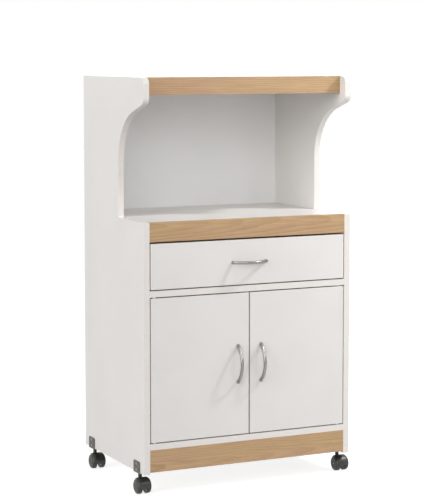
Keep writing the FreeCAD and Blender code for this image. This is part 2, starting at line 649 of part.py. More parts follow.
def drawer_runner(name, side):
    """A steel strip under the drawer side with a track flange, cut back for its rear roller."""
    wall = "Sizes.runner_sheet"
    body = new_body(f"{name}_drawer_runner", "0", BEHIND_FRONTS, RUNNER_BOTTOM)
    web = f"({DRAWER_SIDE_FACE} + {wall})"
    ledge = f"({DRAWER_SIDE_FACE} - Sizes.ledge_reach)"
    track = f"({web} + Sizes.track_reach)"
    track_bottom = (f"({wall} + Sizes.roller_play + 2 * Sizes.front_roller_radius"
                    " + Sizes.running_play)")
    track_top = f"({track_bottom} + {wall})"
    sketch = new_sketch(body, "XZ_Plane")
    outline(sketch, signed(side, [
        (ledge, "0"), (web, "0"), (web, track_bottom), (track, track_bottom),
        (track, track_top), (DRAWER_SIDE_FACE, track_top), (DRAWER_SIDE_FACE, wall), (ledge, wall),
    ]))
    pad(body, sketch, RUNNER_LENGTH, backwards=True)
    cut_back = "(Sizes.roller_inset + Sizes.rear_roller_radius + Sizes.end_play)"
    sketch = new_sketch(body, "XZ_Plane", f"-({RUNNER_LENGTH} - {cut_back})")
    rectangle(sketch, across(side, web, f"({track} + {CUT_MARGIN})"),
              (f"({track_bottom} - {wall})", f"({track_top} + {CUT_MARGIN})"))
    pocket(body, sketch)
    roller_centre = f"({wall} + Sizes.running_play + Sizes.rear_roller_radius)"
    rear = f"({RUNNER_LENGTH} - Sizes.roller_inset)"
    rivet_end = f"({INSIDE} - {wall} - Sizes.end_play)"
    rivet(body, side, web, rivet_end, rear, roller_centre)
    roller(f"{name}_rear_roller", side, f"(({web} + {rivet_end}) / 2)",
           f"({BEHIND_FRONTS} + {rear})", f"({RUNNER_BOTTOM} + {roller_centre})",
           "Sizes.rear_roller_radius")


def rivet(body, side, root, tip, y, z):
    """The round rivet of a roller, standing on a runner's web."""
    sketch = new_sketch(body, "YZ_Plane", f"{side} * {root}")
    circle(sketch, y, z, "Sizes.rivet_radius")
    towards_positive_x = number(f"{side} * {tip}") > number(f"{side} * {root}")
    pad(body, sketch, f"abs({tip} - {root})", backwards=not towards_positive_x)


def roller(label, side, x, y, z, radius):
    """A plastic runner roller that turns on its rivet, about an axis along X."""
    body = new_body(label, f"{side} * {x}", y, z)
    sketch = new_sketch(body, "XZ_Plane")
    half = "(Sizes.roller_width / 2)"
    bore = "(Sizes.rivet_radius + Sizes.running_play)"
    rectangle(sketch, (f"-{half}", half), (bore, radius))
    revolution(body, sketch)


# ---- doors ----------------------------------------------------------------------------------


def doors():
    """Two doors on pivot pins, their handles, the magnetic catch and its strike plates."""
    door_height = f"({DOOR_TOP} - {DOOR_BOTTOM})"
    for name, side in SIDES:
        low_x, high_x = across(side, DOOR_INNER, DOOR_OUTER)
        body = new_body(f"{name}_door", low_x, FRONT, DOOR_BOTTOM)
        sketch = new_sketch(body, "XZ_Plane")
        rectangle(sketch, ("0", f"({high_x} - ({low_x}))"), ("0", door_height))
        pad(body, sketch, "Sizes.board", backwards=True)
        hole = "(Sizes.pivot_radius + Sizes.running_play)"
        pivot = f"({side} * {PIVOT_X} - ({low_x}))"
        for height, upwards in ((None, True), (door_height, False)):
            sketch = new_sketch(body, "XY_Plane", height)
            circle(sketch, pivot, "(Sizes.board / 2)", hole)
            pocket(body, sketch, "(Sizes.pivot_depth + Sizes.end_play)", along=upwards)
        middle = f"(({DOOR_TOP} + {DOOR_BOTTOM}) / 2)"
        bow_handle(f"{name}_door_handle", f"{side} * Sizes.door_handle_offset", middle, True)
        pins = [pivot_pin(side, DOOR_BOTTOM, BASE_TOP), pivot_pin(side, DIVIDER_UNDERSIDE, DOOR_TOP)]
        keep(f"{name}_door_pivots", group(pins))

    half_catch = "(Sizes.catch_length / 2)"
    catch_top = DIVIDER_UNDERSIDE
    catch_front = f"({BEHIND_FRONTS} + Sizes.strike_sheet + Sizes.catch_play)"
    keep("door_catch", box((f"-{half_catch}", half_catch),
                           (catch_front, f"({catch_front} + Sizes.catch_depth)"),
                           (f"({catch_top} - Sizes.catch_height)", catch_top)))
    for name, side in SIDES:
        strike = (f"({DOOR_INNER} + Sizes.end_play)",
                  f"({DOOR_INNER} + Sizes.end_play + Sizes.strike_length)")
        top = f"({DOOR_TOP} - Sizes.end_play)"
        keep(f"{name}_strike_plate", box(
            across(side, *strike), (BEHIND_FRONTS, f"({BEHIND_FRONTS} + Sizes.strike_sheet)"),
            (f"({top} - Sizes.strike_height)", top)))


def pivot_pin(side, high_end, low_end):
    """A steel pin with a collar: fixed in a board, running in a door's hole across the gap."""
    rod = doc.addObject("Part::Cylinder", "Pin")
    rod.setExpression("Radius", "Sizes.pivot_radius")
    rod.setExpression("Height", f"{high_end} - {low_end} + 2 * Sizes.pivot_depth")
    collar = doc.addObject("Part::Cylinder", "Collar")
    collar.setExpression("Radius", "Sizes.collar_radius")
    collar.setExpression("Height", "Sizes.shelf_gap - Sizes.collar_play")
    on_base = high_end == DOOR_BOTTOM
    collar_foot = low_end if on_base else f"({low_end} + Sizes.collar_play)"
    for piece, foot in ((rod, f"{low_end} - Sizes.pivot_depth"), (collar, collar_foot)):
        for axis, place in zip("xyz", (f"{side} * {PIVOT_X}", PIVOT_Y, foot)):
            piece.setExpression(f".Placement.Base.{axis}", place)
    pin = doc.addObject("Part::Fuse", "PivotPin")
    pin.Base = rod
    pin.Tool = collar
    return pin


# ---- casters --------------------------------------------------------------------------------


def caster(corner, side, y):
    """Bracket with its stem, hood that swivels on the stem, axle and two wheels."""
    x = f"{side} * {CASTER_X}"
    caster_bracket(f"{corner}_caster_bracket", side, x, y)
    axle_y = f"({y} - Sizes.caster_trail)"
    caster_hood(f"{corner}_caster_hood", x, axle_y)
    end = "(Sizes.caster_width / 2 - Sizes.end_play)"
    axle = rod_along_x((f"{x} - {end}", f"{x} + {end}"), axle_y, "Sizes.wheel_radius",
                       "Sizes.axle_radius")
    keep(f"{corner}_caster_axle", axle)
    for place, turned in (("outer", side), ("inner", -side)):
        caster_wheel(f"{corner}_{place}_wheel", turned, x, axle_y)


def caster_bracket(label, side, x, y):
    """An angle of sheet steel round the side panel's lower edge, with the stem riveted in it."""
    body = new_body(label, x, y, BOTTOM)
    sheet_metal, half_board = "Sizes.bracket_sheet", "(Sizes.board / 2)"
    half, top, corner = "(Sizes.bracket_width / 2)", "Sizes.bracket_height", "Sizes.bracket_corner"
    outside = f"({half_board} + {sheet_metal})"
    low_face = half_board if side == RIGHT else f"-{outside}"

    sketch = new_sketch(body, "YZ_Plane", low_face)
    rectangle(sketch, (f"-{half}", half), (f"-{sheet_metal}", top))
    pad(body, sketch, sheet_metal)
    fillet(body, [(number(f"-{half}"), number(top)), (number(half), number(top))], corner)

    sketch = new_sketch(body, "XY_Plane")
    foot = "(Sizes.foot_plate_width / 2)"
    reach = f"({half_board} - Sizes.foot_plate_reach)"
    rectangle(sketch, across(side, reach, half_board), (f"-{foot}", foot))
    pad(body, sketch, sheet_metal, backwards=True)

    sketch = new_sketch(body, "XY_Plane", f"-{sheet_metal}")
    circle(sketch, "0", "0", "Sizes.stem_radius")
    pad(body, sketch, "Sizes.stem_length", backwards=True)

    sketch = new_sketch(body, "YZ_Plane", low_face)
    for screw in bracket_screw_levels():
        circle(sketch, "0", screw, "(Sizes.screw_radius + Sizes.running_play)")
    pocket(body, sketch, along=True)


def bracket_screw_levels():
    """Heights of a bracket's two screws above the side panel's bottom edge."""
    return "Sizes.bracket_screw_low", "(Sizes.bracket_screw_low + Sizes.bracket_screw_pitch)"


def caster_hood(label, x, axle_y):
    """The moulded hood: a crowned shell over the wheels, the web between them and the neck."""
    body = new_body(label, x, axle_y, "Sizes.wheel_radius")
    half = "(Sizes.hood_width / 2)"
    inner = "(Sizes.wheel_radius + Sizes.hood_play)"
    outer = f"({inner} + Sizes.hood_wall)"
    shoulder = f"({half} - Sizes.hood_crown)"
    sketch = new_sketch(body, "XZ_Plane")
    outline(sketch, [
        (f"-{half}", inner), (half, inner), (half, f"({inner} + Sizes.hood_edge)"),
        (shoulder, outer), (f"-{shoulder}", outer), (f"-{half}", f"({inner} + Sizes.hood_edge)"),
    ])
    revolution(body, sketch, "Sizes.hood_angle")

    sketch = new_sketch(body, "YZ_Plane", "-Sizes.web_thick / 2")
    web_outline(sketch, f"({inner} + Sizes.hood_wall / 2)")
    pad(body, sketch, "Sizes.web_thick")

    neck_top = "(Sizes.floor_gap - Sizes.bracket_sheet - Sizes.neck_gap - Sizes.wheel_radius)"
    neck_foot = "(Sizes.wheel_radius - Sizes.neck_radius)"
    sketch = new_sketch(body, "XY_Plane", neck_foot)
    circle(sketch, "0", "Sizes.caster_trail", "Sizes.neck_radius")
    pad(body, sketch, f"{neck_top} - {neck_foot}")

    sketch = new_sketch(body, "XY_Plane", neck_top)
    circle(sketch, "0", "Sizes.caster_trail", "(Sizes.stem_radius + Sizes.running_play)")
    pocket(body, sketch, "Sizes.stem_length - Sizes.neck_gap + Sizes.end_play")

    sketch = new_sketch(body, "YZ_Plane", "-Sizes.web_thick / 2")
    circle(sketch, "0", "0", "Sizes.axle_radius")
    pocket(body, sketch, along=True)


def web_outline(sketch, radius):
    """The web between the wheels: an arc under the hood, closed by edges that meet at the foot."""
    half_turn = "(Sizes.hood_angle / 2)"
    end_y, end_z = f"({radius} * sin({half_turn}))", f"({radius} * cos({half_turn}))"
    foot = "Sizes.web_foot / 2"
    start = number(f"(90 - {half_turn}) * pi / 180")
    finish = number(f"(90 + {half_turn}) * pi / 180")
    rim = Part.Circle(Vector(0, 0, 0), Vector(0, 0, 1), number(radius))
    corners = [(end_y, end_z), (f"-{end_y}", end_z), (f"-{foot}", "-Sizes.web_drop"),
               (foot, "-Sizes.web_drop")]
    places = [Vector(number(y), number(z), 0) for y, z in corners]
    sketch.addGeometry([
        Part.ArcOfCircle(rim, start, finish),
        Part.LineSegment(places[1], places[2]),
        Part.LineSegment(places[2], places[3]),
        Part.LineSegment(places[3], places[0]),
    ], False)
    for joined in ((0, 2, 1, 1), (1, 2, 2, 1), (2, 2, 3, 1), (3, 2, 0, 1)):
        sketch.addConstraint(Sketcher.Constraint("Coincident", *joined))
    sketch.addConstraint(Sketcher.Constraint("Coincident", 0, 3, -1, 1))
    index = sketch.addConstraint(Sketcher.Constraint("Radius", 0, number(radius)))
    sketch.setExpression(f"Constraints[{index}]", radius)
    for geometry, position, place in ((0, 1, end_z), (0, 2, end_z)):
        index = sketch.addConstraint(
            Sketcher.Constraint("DistanceY", -1, 1, geometry, position, number(place)))
        sketch.setExpression(f"Constraints[{index}]", place)
    pin_point(sketch, 2, 1, *corners[2])
    pin_point(sketch, 2, 2, *corners[3])


def caster_wheel(label, side, x, axle_y):
    """A caster wheel, turned about its axle: flat inside, domed in two slopes outside."""
    body = new_body(label, x, axle_y, "Sizes.wheel_radius")
    inner, outer = "(Sizes.web_thick / 2 + Sizes.wheel_play)", "(Sizes.caster_width / 2)"
    radius, bore = "Sizes.wheel_radius", "(Sizes.axle_radius + Sizes.running_play)"
    # the two slopes meet half-way round the dome
    bend_x = f"({outer} - Sizes.wheel_dome * (1 - cos(45)))"
    bend_radius = f"({radius} - Sizes.wheel_dome_drop * (1 - cos(45)))"
    sketch = new_sketch(body, "XZ_Plane")
    outline(sketch, signed(side, [
        (inner, bore), (outer, bore), (outer, f"({radius} - Sizes.wheel_dome_drop)"),
        (bend_x, bend_radius), (f"({outer} - Sizes.wheel_dome)", radius), (inner, radius),
    ]))
    revolution(body, sketch)


def casters():
    """Four casters and the screws of their brackets."""
    screws = []
    for name, side in SIDES:
        for end, y in (("front", CASTER_FRONT), ("rear", CASTER_REAR)):
            caster(f"{end}_{name}", side, y)
            screws += [bracket_screw(side, y, f"({BOTTOM} + {level})")
                       for level in bracket_screw_levels()]
    keep("caster_screws", group(screws))


def bracket_screw(side, y, z):
    """A pan-head wood screw through a caster bracket into the side panel."""
    face = f"({HALF_WIDTH} + Sizes.bracket_sheet)"
    head = across(side, face, f"({face} + Sizes.screw_head_height)")
    shank = across(side, f"({face} - Sizes.screw_length)", face)
    screw = doc.addObject("Part::Fuse", "BracketScrew")
    screw.Base = rod_along_x(head, y, z, "Sizes.screw_head_radius")
    screw.Tool = rod_along_x(shank, y, z, "Sizes.screw_radius")
    return screw


# ---- build, check and export ----------------------------------------------------------------


def check():
    """Stops if anything failed to compute, if a cut removed nothing or if a shape is not sound."""
    for item in doc.Objects:
        if "Invalid" in item.State or "Error" in item.State:
            raise RuntimeError(f"{item.Label} did not compute: {item.State}")
        if item.TypeId == "PartDesign::Pocket":
            before = item.BaseFeature.Shape.Volume
            if item.Shape.Volume > before - 1e-3:
                raise RuntimeError(f"{item.Label} cuts nothing")
    for label, piece in nodes.items():
        shape = piece.Shape
        if shape.isNull() or not shape.isValid() or not shape.Solids:
            raise RuntimeError(f"{label} has no sound shape")


carcass()
drawer()
doors()
casters()
doc.recompute()
check()
os.makedirs("parts", exist_ok=True)
for label, piece in nodes.items():
    piece.Shape.exportStep(f"parts/{label}.step")
print(f"{len(nodes)} sub-parts written")
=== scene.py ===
"""Looks of a rolling microwave stand with a drawer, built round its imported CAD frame.

Lengths are in metres and angles in degrees. +Z is up, the stand faces -Y and X runs along its
width. Places come from the frame's boxes, and each class holds the sizes that are its own.
"""

import logging
import math
from contextlib import contextmanager
from dataclasses import dataclass, field
from enum import Enum, IntEnum
from typing import Callable, Dict, Iterable, Iterator, List, Optional, Sequence, Tuple

import bpy
from mathutils import Matrix, Vector


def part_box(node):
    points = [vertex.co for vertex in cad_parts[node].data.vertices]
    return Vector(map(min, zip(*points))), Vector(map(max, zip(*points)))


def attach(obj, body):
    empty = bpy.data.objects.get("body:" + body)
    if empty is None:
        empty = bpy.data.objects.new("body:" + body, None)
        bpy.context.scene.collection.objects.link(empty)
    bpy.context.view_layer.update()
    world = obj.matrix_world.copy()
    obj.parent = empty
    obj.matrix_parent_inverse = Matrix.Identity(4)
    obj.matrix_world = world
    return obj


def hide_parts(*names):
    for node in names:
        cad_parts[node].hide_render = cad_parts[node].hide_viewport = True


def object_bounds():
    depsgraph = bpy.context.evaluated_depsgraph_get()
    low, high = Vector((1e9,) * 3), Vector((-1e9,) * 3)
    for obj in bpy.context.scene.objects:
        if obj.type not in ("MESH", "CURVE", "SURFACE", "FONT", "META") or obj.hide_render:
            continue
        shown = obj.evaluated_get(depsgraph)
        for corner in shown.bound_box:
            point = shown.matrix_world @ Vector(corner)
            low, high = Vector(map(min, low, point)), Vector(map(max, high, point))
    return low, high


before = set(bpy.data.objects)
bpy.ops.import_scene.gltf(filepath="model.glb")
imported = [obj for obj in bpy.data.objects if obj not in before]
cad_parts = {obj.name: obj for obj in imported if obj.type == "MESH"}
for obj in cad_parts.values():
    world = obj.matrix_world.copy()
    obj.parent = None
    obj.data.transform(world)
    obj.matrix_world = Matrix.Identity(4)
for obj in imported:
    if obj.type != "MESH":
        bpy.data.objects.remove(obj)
CAD_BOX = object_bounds()
LOG = logging.getLogger("microwave_stand")

MM = 0.001
WHITE = (1.0, 1.0, 1.0, 1.0)

# Points nearer than WELD are merged, and faces that turn less than ONE_PLANE become one.
WELD = 1e-6
ONE_PLANE = math.radians(0.5)
# One step round a rounded corner turns by about this angle.
ARC_STEP = math.radians(18)
# A face lies on a surface if it is within SKIN of it. It looks along an axis if its normal
# has more than FACING of that axis, and it is upright if its normal has under UPRIGHT of Z.
SKIN = 0.6 * MM
FACING = 0.9
UPRIGHT = 0.5
# A cutting block or pin reaches this far past what it cuts.
CLEAR = 1 * MM
# Most values of a noise lie in this range.
NOISE = (0.3, 0.7)

Colour = Tuple[float, float, float]
Flat = Tuple[float, float]
Span = Tuple[float, float]
Test = Callable[[Vector, Vector], bool]


class Side(Enum):
    """The two sides of the stand, with the sign of X there."""

    LEFT = -1
    RIGHT = 1

    @property
    def label(self) -> str:
        """The side's name as the nodes use it."""
        return self.name.lower()


class End(Enum):
    """The two ends of the stand's depth, as the nodes name them."""

    FRONT = "front"
    REAR = "rear"


class Axis(IntEnum):
    """The three axes, as places in a vector."""

    X = 0
    Y = 1
    Z = 2


class Join(Enum):
    """Ways of combining two solids, with Blender's names of them."""

    ADD = "UNION"
    CUT = "DIFFERENCE"


class Fastener(Enum):
    """The fasteners that are modelled once and copied."""

    BRACKET_SCREW = "bracket"
    RUNNER_SCREW = "runner"
    HANDLE_SCREW = "handle"
    STRIKE_SCREW = "strike"
    CAM = "cam"
    NAIL = "nail"


class Slot(Enum):
    """The record's material slots."""

    BOARD = "white_board"
    OAK = "oak_board"
    BACK = "back_board"
    PLASTIC = "white_plastic"
    COATED = "coated_steel"
    CHROME = "chrome"
    ZINC = "zinc_steel"
    BRIGHT = "bright_steel"
    NYLON = "black_nylon"


class Towards(Enum):
    """Directions that a turned piece can point in, as turns of a piece made along +X."""

    RIGHT = Matrix.Identity(4)
    LEFT = Matrix.Rotation(math.pi, 4, "Z")
    REAR = Matrix.Rotation(math.pi / 2, 4, "Z")
    UP = Matrix.Rotation(-math.pi / 2, 4, "Y")
    DOWN = Matrix.Rotation(math.pi / 2, 4, "Y")

    def at(self, place: Sequence[float]) -> Matrix:
        """The matrix that turns a piece this way and puts its origin at a place."""
        return Matrix.Translation(Vector(place)) @ self.value


def srgb(red: float, green: float, blue: float) -> Colour:
    """Turns a colour written in 0 to 255 display values into linear light.

    Args:
        red: Red as displayed.
        green: Green as displayed.
        blue: Blue as displayed.

    Returns:
        The colour as Blender's sockets take it.
    """
    def linear(level: float) -> float:
        """One channel in linear light."""
        share = level / 255
        return share / 12.92 if share <= 0.04045 else ((share + 0.055) / 1.055) ** 2.4

    return linear(red), linear(green), linear(blue)


def rounded(corners: Sequence[Tuple[float, float, float]], closed: bool = True) -> List[Flat]:
    """Rounds the corners of a flat outline.

    Args:
        corners: First coordinate, second coordinate and radius of each corner.
        closed: Whether the last corner joins the first; the ends of an open one stay sharp.

    Returns:
        The points of the outline, with each rounded corner as an arc of short steps.
    """
    points: List[Flat] = []
    for index, (first, second, radius) in enumerate(corners):
        corner = Vector((first, second))
        at_end = not closed and index in (0, len(corners) - 1)
        if at_end or not radius:
            points.append((first, second))
            continue
        back = (Vector(corners[index - 1][:2]) - corner).normalized()
        ahead = (Vector(corners[(index + 1) % len(corners)][:2]) - corner).normalized()
        half = back.angle(ahead) / 2
        centre = corner + (back + ahead).normalized() * radius / math.sin(half)
        start = corner + back * radius / math.tan(half) - centre
        turn = math.pi - 2 * half
        if back.x * ahead.y - back.y * ahead.x > 0:
            turn = -turn
        steps = max(2, round(abs(turn) / ARC_STEP))
        for count in range(steps + 1):
            angle = turn * count / steps
            points.append((centre.x + start.x * math.cos(angle) - start.y * math.sin(angle),
                           centre.y + start.x * math.sin(angle) + start.y * math.cos(angle)))
    return points


# ---- the bench: shaping with operators ------------------------------------------------------


def pick(*objects: bpy.types.Object) -> None:
    """Selects these objects alone, the first one active.

    Args:
        *objects: The objects; with none, everything is deselected.
    """
    if bpy.context.mode != "OBJECT":
        bpy.ops.object.mode_set(mode="OBJECT")
    bpy.ops.object.select_all(action="DESELECT")
    for item in objects:
        item.select_set(True)
    if objects:
        bpy.context.view_layer.objects.active = objects[0]


class Piece:
    """A mesh on the bench, shaped with Blender's operators and then fitted to the stand."""

    def __init__(self, name: str, item: bpy.types.Object) -> None:
        """Names an object and takes it as the piece.

        Args:
            name: The piece's name.
            item: Its mesh object.
        """
        item.name = name
        item.data.name = name
        self.item = item

    # ---- starting a piece

    @classmethod
    def block(cls, name: str, low: Sequence[float], high: Sequence[float]) -> "Piece":
        """A block between two corners.

        Args:
            name: The piece's name.
            low: Its lowest corner.
            high: Its highest corner.

        Returns:
            The new piece.
        """
        pick()
        size = Vector(high) - Vector(low)
        middle = (Vector(high) + Vector(low)) / 2
        bpy.ops.mesh.primitive_cube_add(size=1, location=middle, scale=size)
        bpy.ops.object.transform_apply(location=True, rotation=True, scale=True)
        return cls(name, bpy.context.object)

    @classmethod
    def outline(cls, name: str, points: Sequence[Vector], faced: bool, closed: bool) -> "Piece":
        """Draws an outline by extruding one vertex from point to point.

        Args:
            name: The piece's name.
            points: The outline's points.
            faced: Whether a closed outline is filled with a face.
            closed: Whether the last point joins the first.

        Returns:
            The new piece.
        """
        pick()
        bpy.ops.mesh.primitive_plane_add(size=MM, location=points[0])
        piece = cls(name, bpy.context.object)
        with piece.editing():
            bpy.ops.mesh.merge(type="CENTER")
            for start, end in zip(points, points[1:]):
                bpy.ops.mesh.extrude_region_move(TRANSFORM_OT_translate={"value": end - start})
            if closed:
                bpy.ops.mesh.select_all(action="SELECT")
                bpy.ops.mesh.edge_face_add()
                if not faced:
                    bpy.ops.mesh.delete(type="ONLY_FACE")
        bpy.ops.object.transform_apply(location=True, rotation=True, scale=True)
        return piece

    @classmethod
    def turned(cls, name: str, profile: Sequence[Flat], steps: int = 48,
               closed: bool = False) -> "Piece":
        """Turns a profile about the X axis, as on a lathe.

        Args:
            name: The piece's name.
            profile: Points along the axis and away from it.
            steps: Steps of the full turn.
            closed: Whether the profile closes away from the axis, as round a bore.

        Returns:
            The new piece.
        """
        piece = cls.outline(name, [Vector((along, 0, out)) for along, out in profile],
                            faced=False, closed=closed)
        with piece.editing():
            bpy.ops.mesh.spin(steps=steps, angle=math.tau, center=(0, 0, 0), axis=(1, 0, 0))
        return piece.weld()

    @classmethod
    def bent(cls, name: str, section: Sequence[Flat], reach: float, steps: int) -> "Piece":
        """Turns a section part of the way about the X axis, half of it each side of +Z.

        Args:
            name: The piece's name.
            section: Points along the axis and away from it.
            reach: The angle that it turns through.
            steps: Steps of that turn.

        Returns:
            The new piece, with flat ends.
        """
        start = math.radians(-reach / 2)
        points = [Vector((along, out * math.sin(start), out * math.cos(start)))
                  for along, out in section]
        piece = cls.outline(name, points, faced=True, closed=True)
        with piece.editing():
            bpy.ops.mesh.spin(steps=steps, angle=math.radians(reach), center=(0, 0, 0),
                              axis=(1, 0, 0))
        return piece.weld()

    @classmethod
    def sheet_cut(cls, name: str, points: Sequence[Vector], depth: Vector) -> "Piece":
        """A plate: a closed outline extruded by its thickness.

        Args:
            name: The piece's name.
            points: The outline's points, in one plane.
            depth: The thickness, as a vector.

        Returns:
            The new piece.
        """
        piece = cls.outline(name, points, faced=True, closed=True)
        with piece.editing():
            bpy.ops.mesh.extrude_region_move(TRANSFORM_OT_translate={"value": depth})
        return piece.weld()

    @classmethod
    def of_node(cls, node: str) -> "Piece":
        """A merged copy of a CAD node, with whole faces in place of its loose triangles.

        Args:
            node: The CAD node's name.

        Returns:
            The new piece, named after the node.
        """
        item = bpy.data.objects.new(node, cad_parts[node].data.copy())
        bpy.context.scene.collection.objects.link(item)
        item.data.materials.clear()
        piece = cls(f"{node}_finished", item)
        with piece.editing():
            bpy.ops.mesh.remove_doubles(threshold=WELD)
            bpy.ops.mesh.dissolve_limited(angle_limit=ONE_PLANE)
        return piece

    # ---- shaping it

    @contextmanager
    def editing(self) -> Iterator[None]:
        """Edit mode on this piece alone, with everything selected.

        Yields:
            Nothing; edit mode ends with the block.
        """
        pick(self.item)
        bpy.ops.object.mode_set(mode="EDIT")
        bpy.ops.mesh.select_mode(type="VERT")
        bpy.ops.mesh.select_all(action="SELECT")
        yield
        bpy.ops.object.mode_set(mode="OBJECT")

    def weld(self) -> "Piece":
        """Merges what coincides and turns every face outwards.

        Returns:
            The piece itself.
        """
        with self.editing():
            bpy.ops.mesh.remove_doubles(threshold=WELD)
            bpy.ops.mesh.normals_make_consistent(inside=False)
        return self

    def modify(self, kind: str, **settings: object) -> "Piece":
        """Adds a modifier with its settings and applies it.

        Args:
            kind: Blender's name of the modifier.
            **settings: Its settings.

        Returns:
            The piece itself.
        """
        pick(self.item)
        modifier = self.item.modifiers.new(kind.lower(), kind)
        for setting, value in settings.items():
            setattr(modifier, setting, value)
        bpy.ops.object.modifier_apply(modifier=modifier.name)
        return self

    def ease(self, width: float, segments: int = 2, angle: float = 40) -> "Piece":
        """Rounds the edges that are sharper than an angle.

        Args:
            width: How far the rounding reaches from the edge.
            segments: Steps across it.
            angle: The least angle between two faces that counts as an edge.

        Returns:
            The piece itself.
        """
        return self.modify("BEVEL", width=width, segments=segments, limit_method="ANGLE",
                           angle_limit=math.radians(angle), use_clamp_overlap=True)

    def smooth(self, angle: float = 35) -> "Piece":
        """Shades smoothly over edges below an angle, and keeps broad faces flat.

        Args:
            angle: The least angle between two faces that stays a sharp edge.

        Returns:
            The piece itself.
        """
        pick(self.item)
        bpy.ops.object.shade_smooth_by_angle(angle=math.radians(angle))
        return self.modify("WEIGHTED_NORMAL", keep_sharp=True)

    def combine(self, join: Join, *others: "Piece") -> "Piece":
        """Adds other pieces to this one or cuts them out of it, and discards them.

        Args:
            join: Whether they are added or cut out.
            *others: The other pieces.

        Returns:
            The piece itself.
        """
        for other in others:
            self.modify("BOOLEAN", operation=join.value, object=other.item, solver="EXACT")
            other.discard()
        return self

    def copied(self, name: str, place: Matrix) -> "Piece":
        """A copy with a mesh of its own, moved to a place.

        Args:
            name: The copy's name.
            place: The matrix that moves it there.

        Returns:
            The new piece.
        """
        item = bpy.data.objects.new(name, self.item.data.copy())
        bpy.context.scene.collection.objects.link(item)
        item.matrix_world = place
        pick(item)
        bpy.ops.object.transform_apply(location=True, rotation=True, scale=True)
        return Piece(name, item)

    def moved(self, place: Matrix) -> "Piece":
        """Moves the piece itself, and keeps its object at the origin.

        Args:
            place: The matrix that moves it.

        Returns:
            The piece itself.
        """
        self.item.matrix_world = place
        pick(self.item)
        bpy.ops.object.transform_apply(location=True, rotation=True, scale=True)
        return self

    def discard(self) -> None:
        """Removes a piece that only served to make others."""
        bpy.data.objects.remove(self.item)

    # ---- dressing and fitting it

    def dress(self, material: bpy.types.Material, where: Optional[Test] = None) -> "Piece":
        """Gives a material to the whole piece or to some of its faces.

        Args:
            material: The material.
            where: A test of a face's middle and normal; every face if it is left out.

        Returns:
            The piece itself.
        """
        materials = self.item.data.materials
        if material.name not in materials:
            materials.append(material)
        index = materials.find(material.name)
        for face in self.item.data.polygons:
            if where is None or where(self.middle_of(face), face.normal):
                face.material_index = index
        return self

    def middle_of(self, face: bpy.types.MeshPolygon) -> Vector:
        """The middle of a face's box, which a notch in the face doesn't move."""
        corners = [self.item.data.vertices[index].co for index in face.vertices]
        return Vector([(min(axis) + max(axis)) / 2 for axis in zip(*corners)])

    def fit(self, body: str, slot: Slot, *nodes: str) -> "Piece":
        """Fixes the piece to a CAD body and reports it.

        Args:
            body: The body that it rides on.
            slot: The record's slot of its finish; not used.
            *nodes: CAD nodes that it stands for.

        Returns:
            The piece itself.
        """
        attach(self.item, body)
        if nodes:
            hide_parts(*nodes)
        LOG.info("%s on %s, %d faces", self.item.name, body, len(self.item.data.polygons))
        return self


# ---- finishes -------------------------------------------------------------------------------


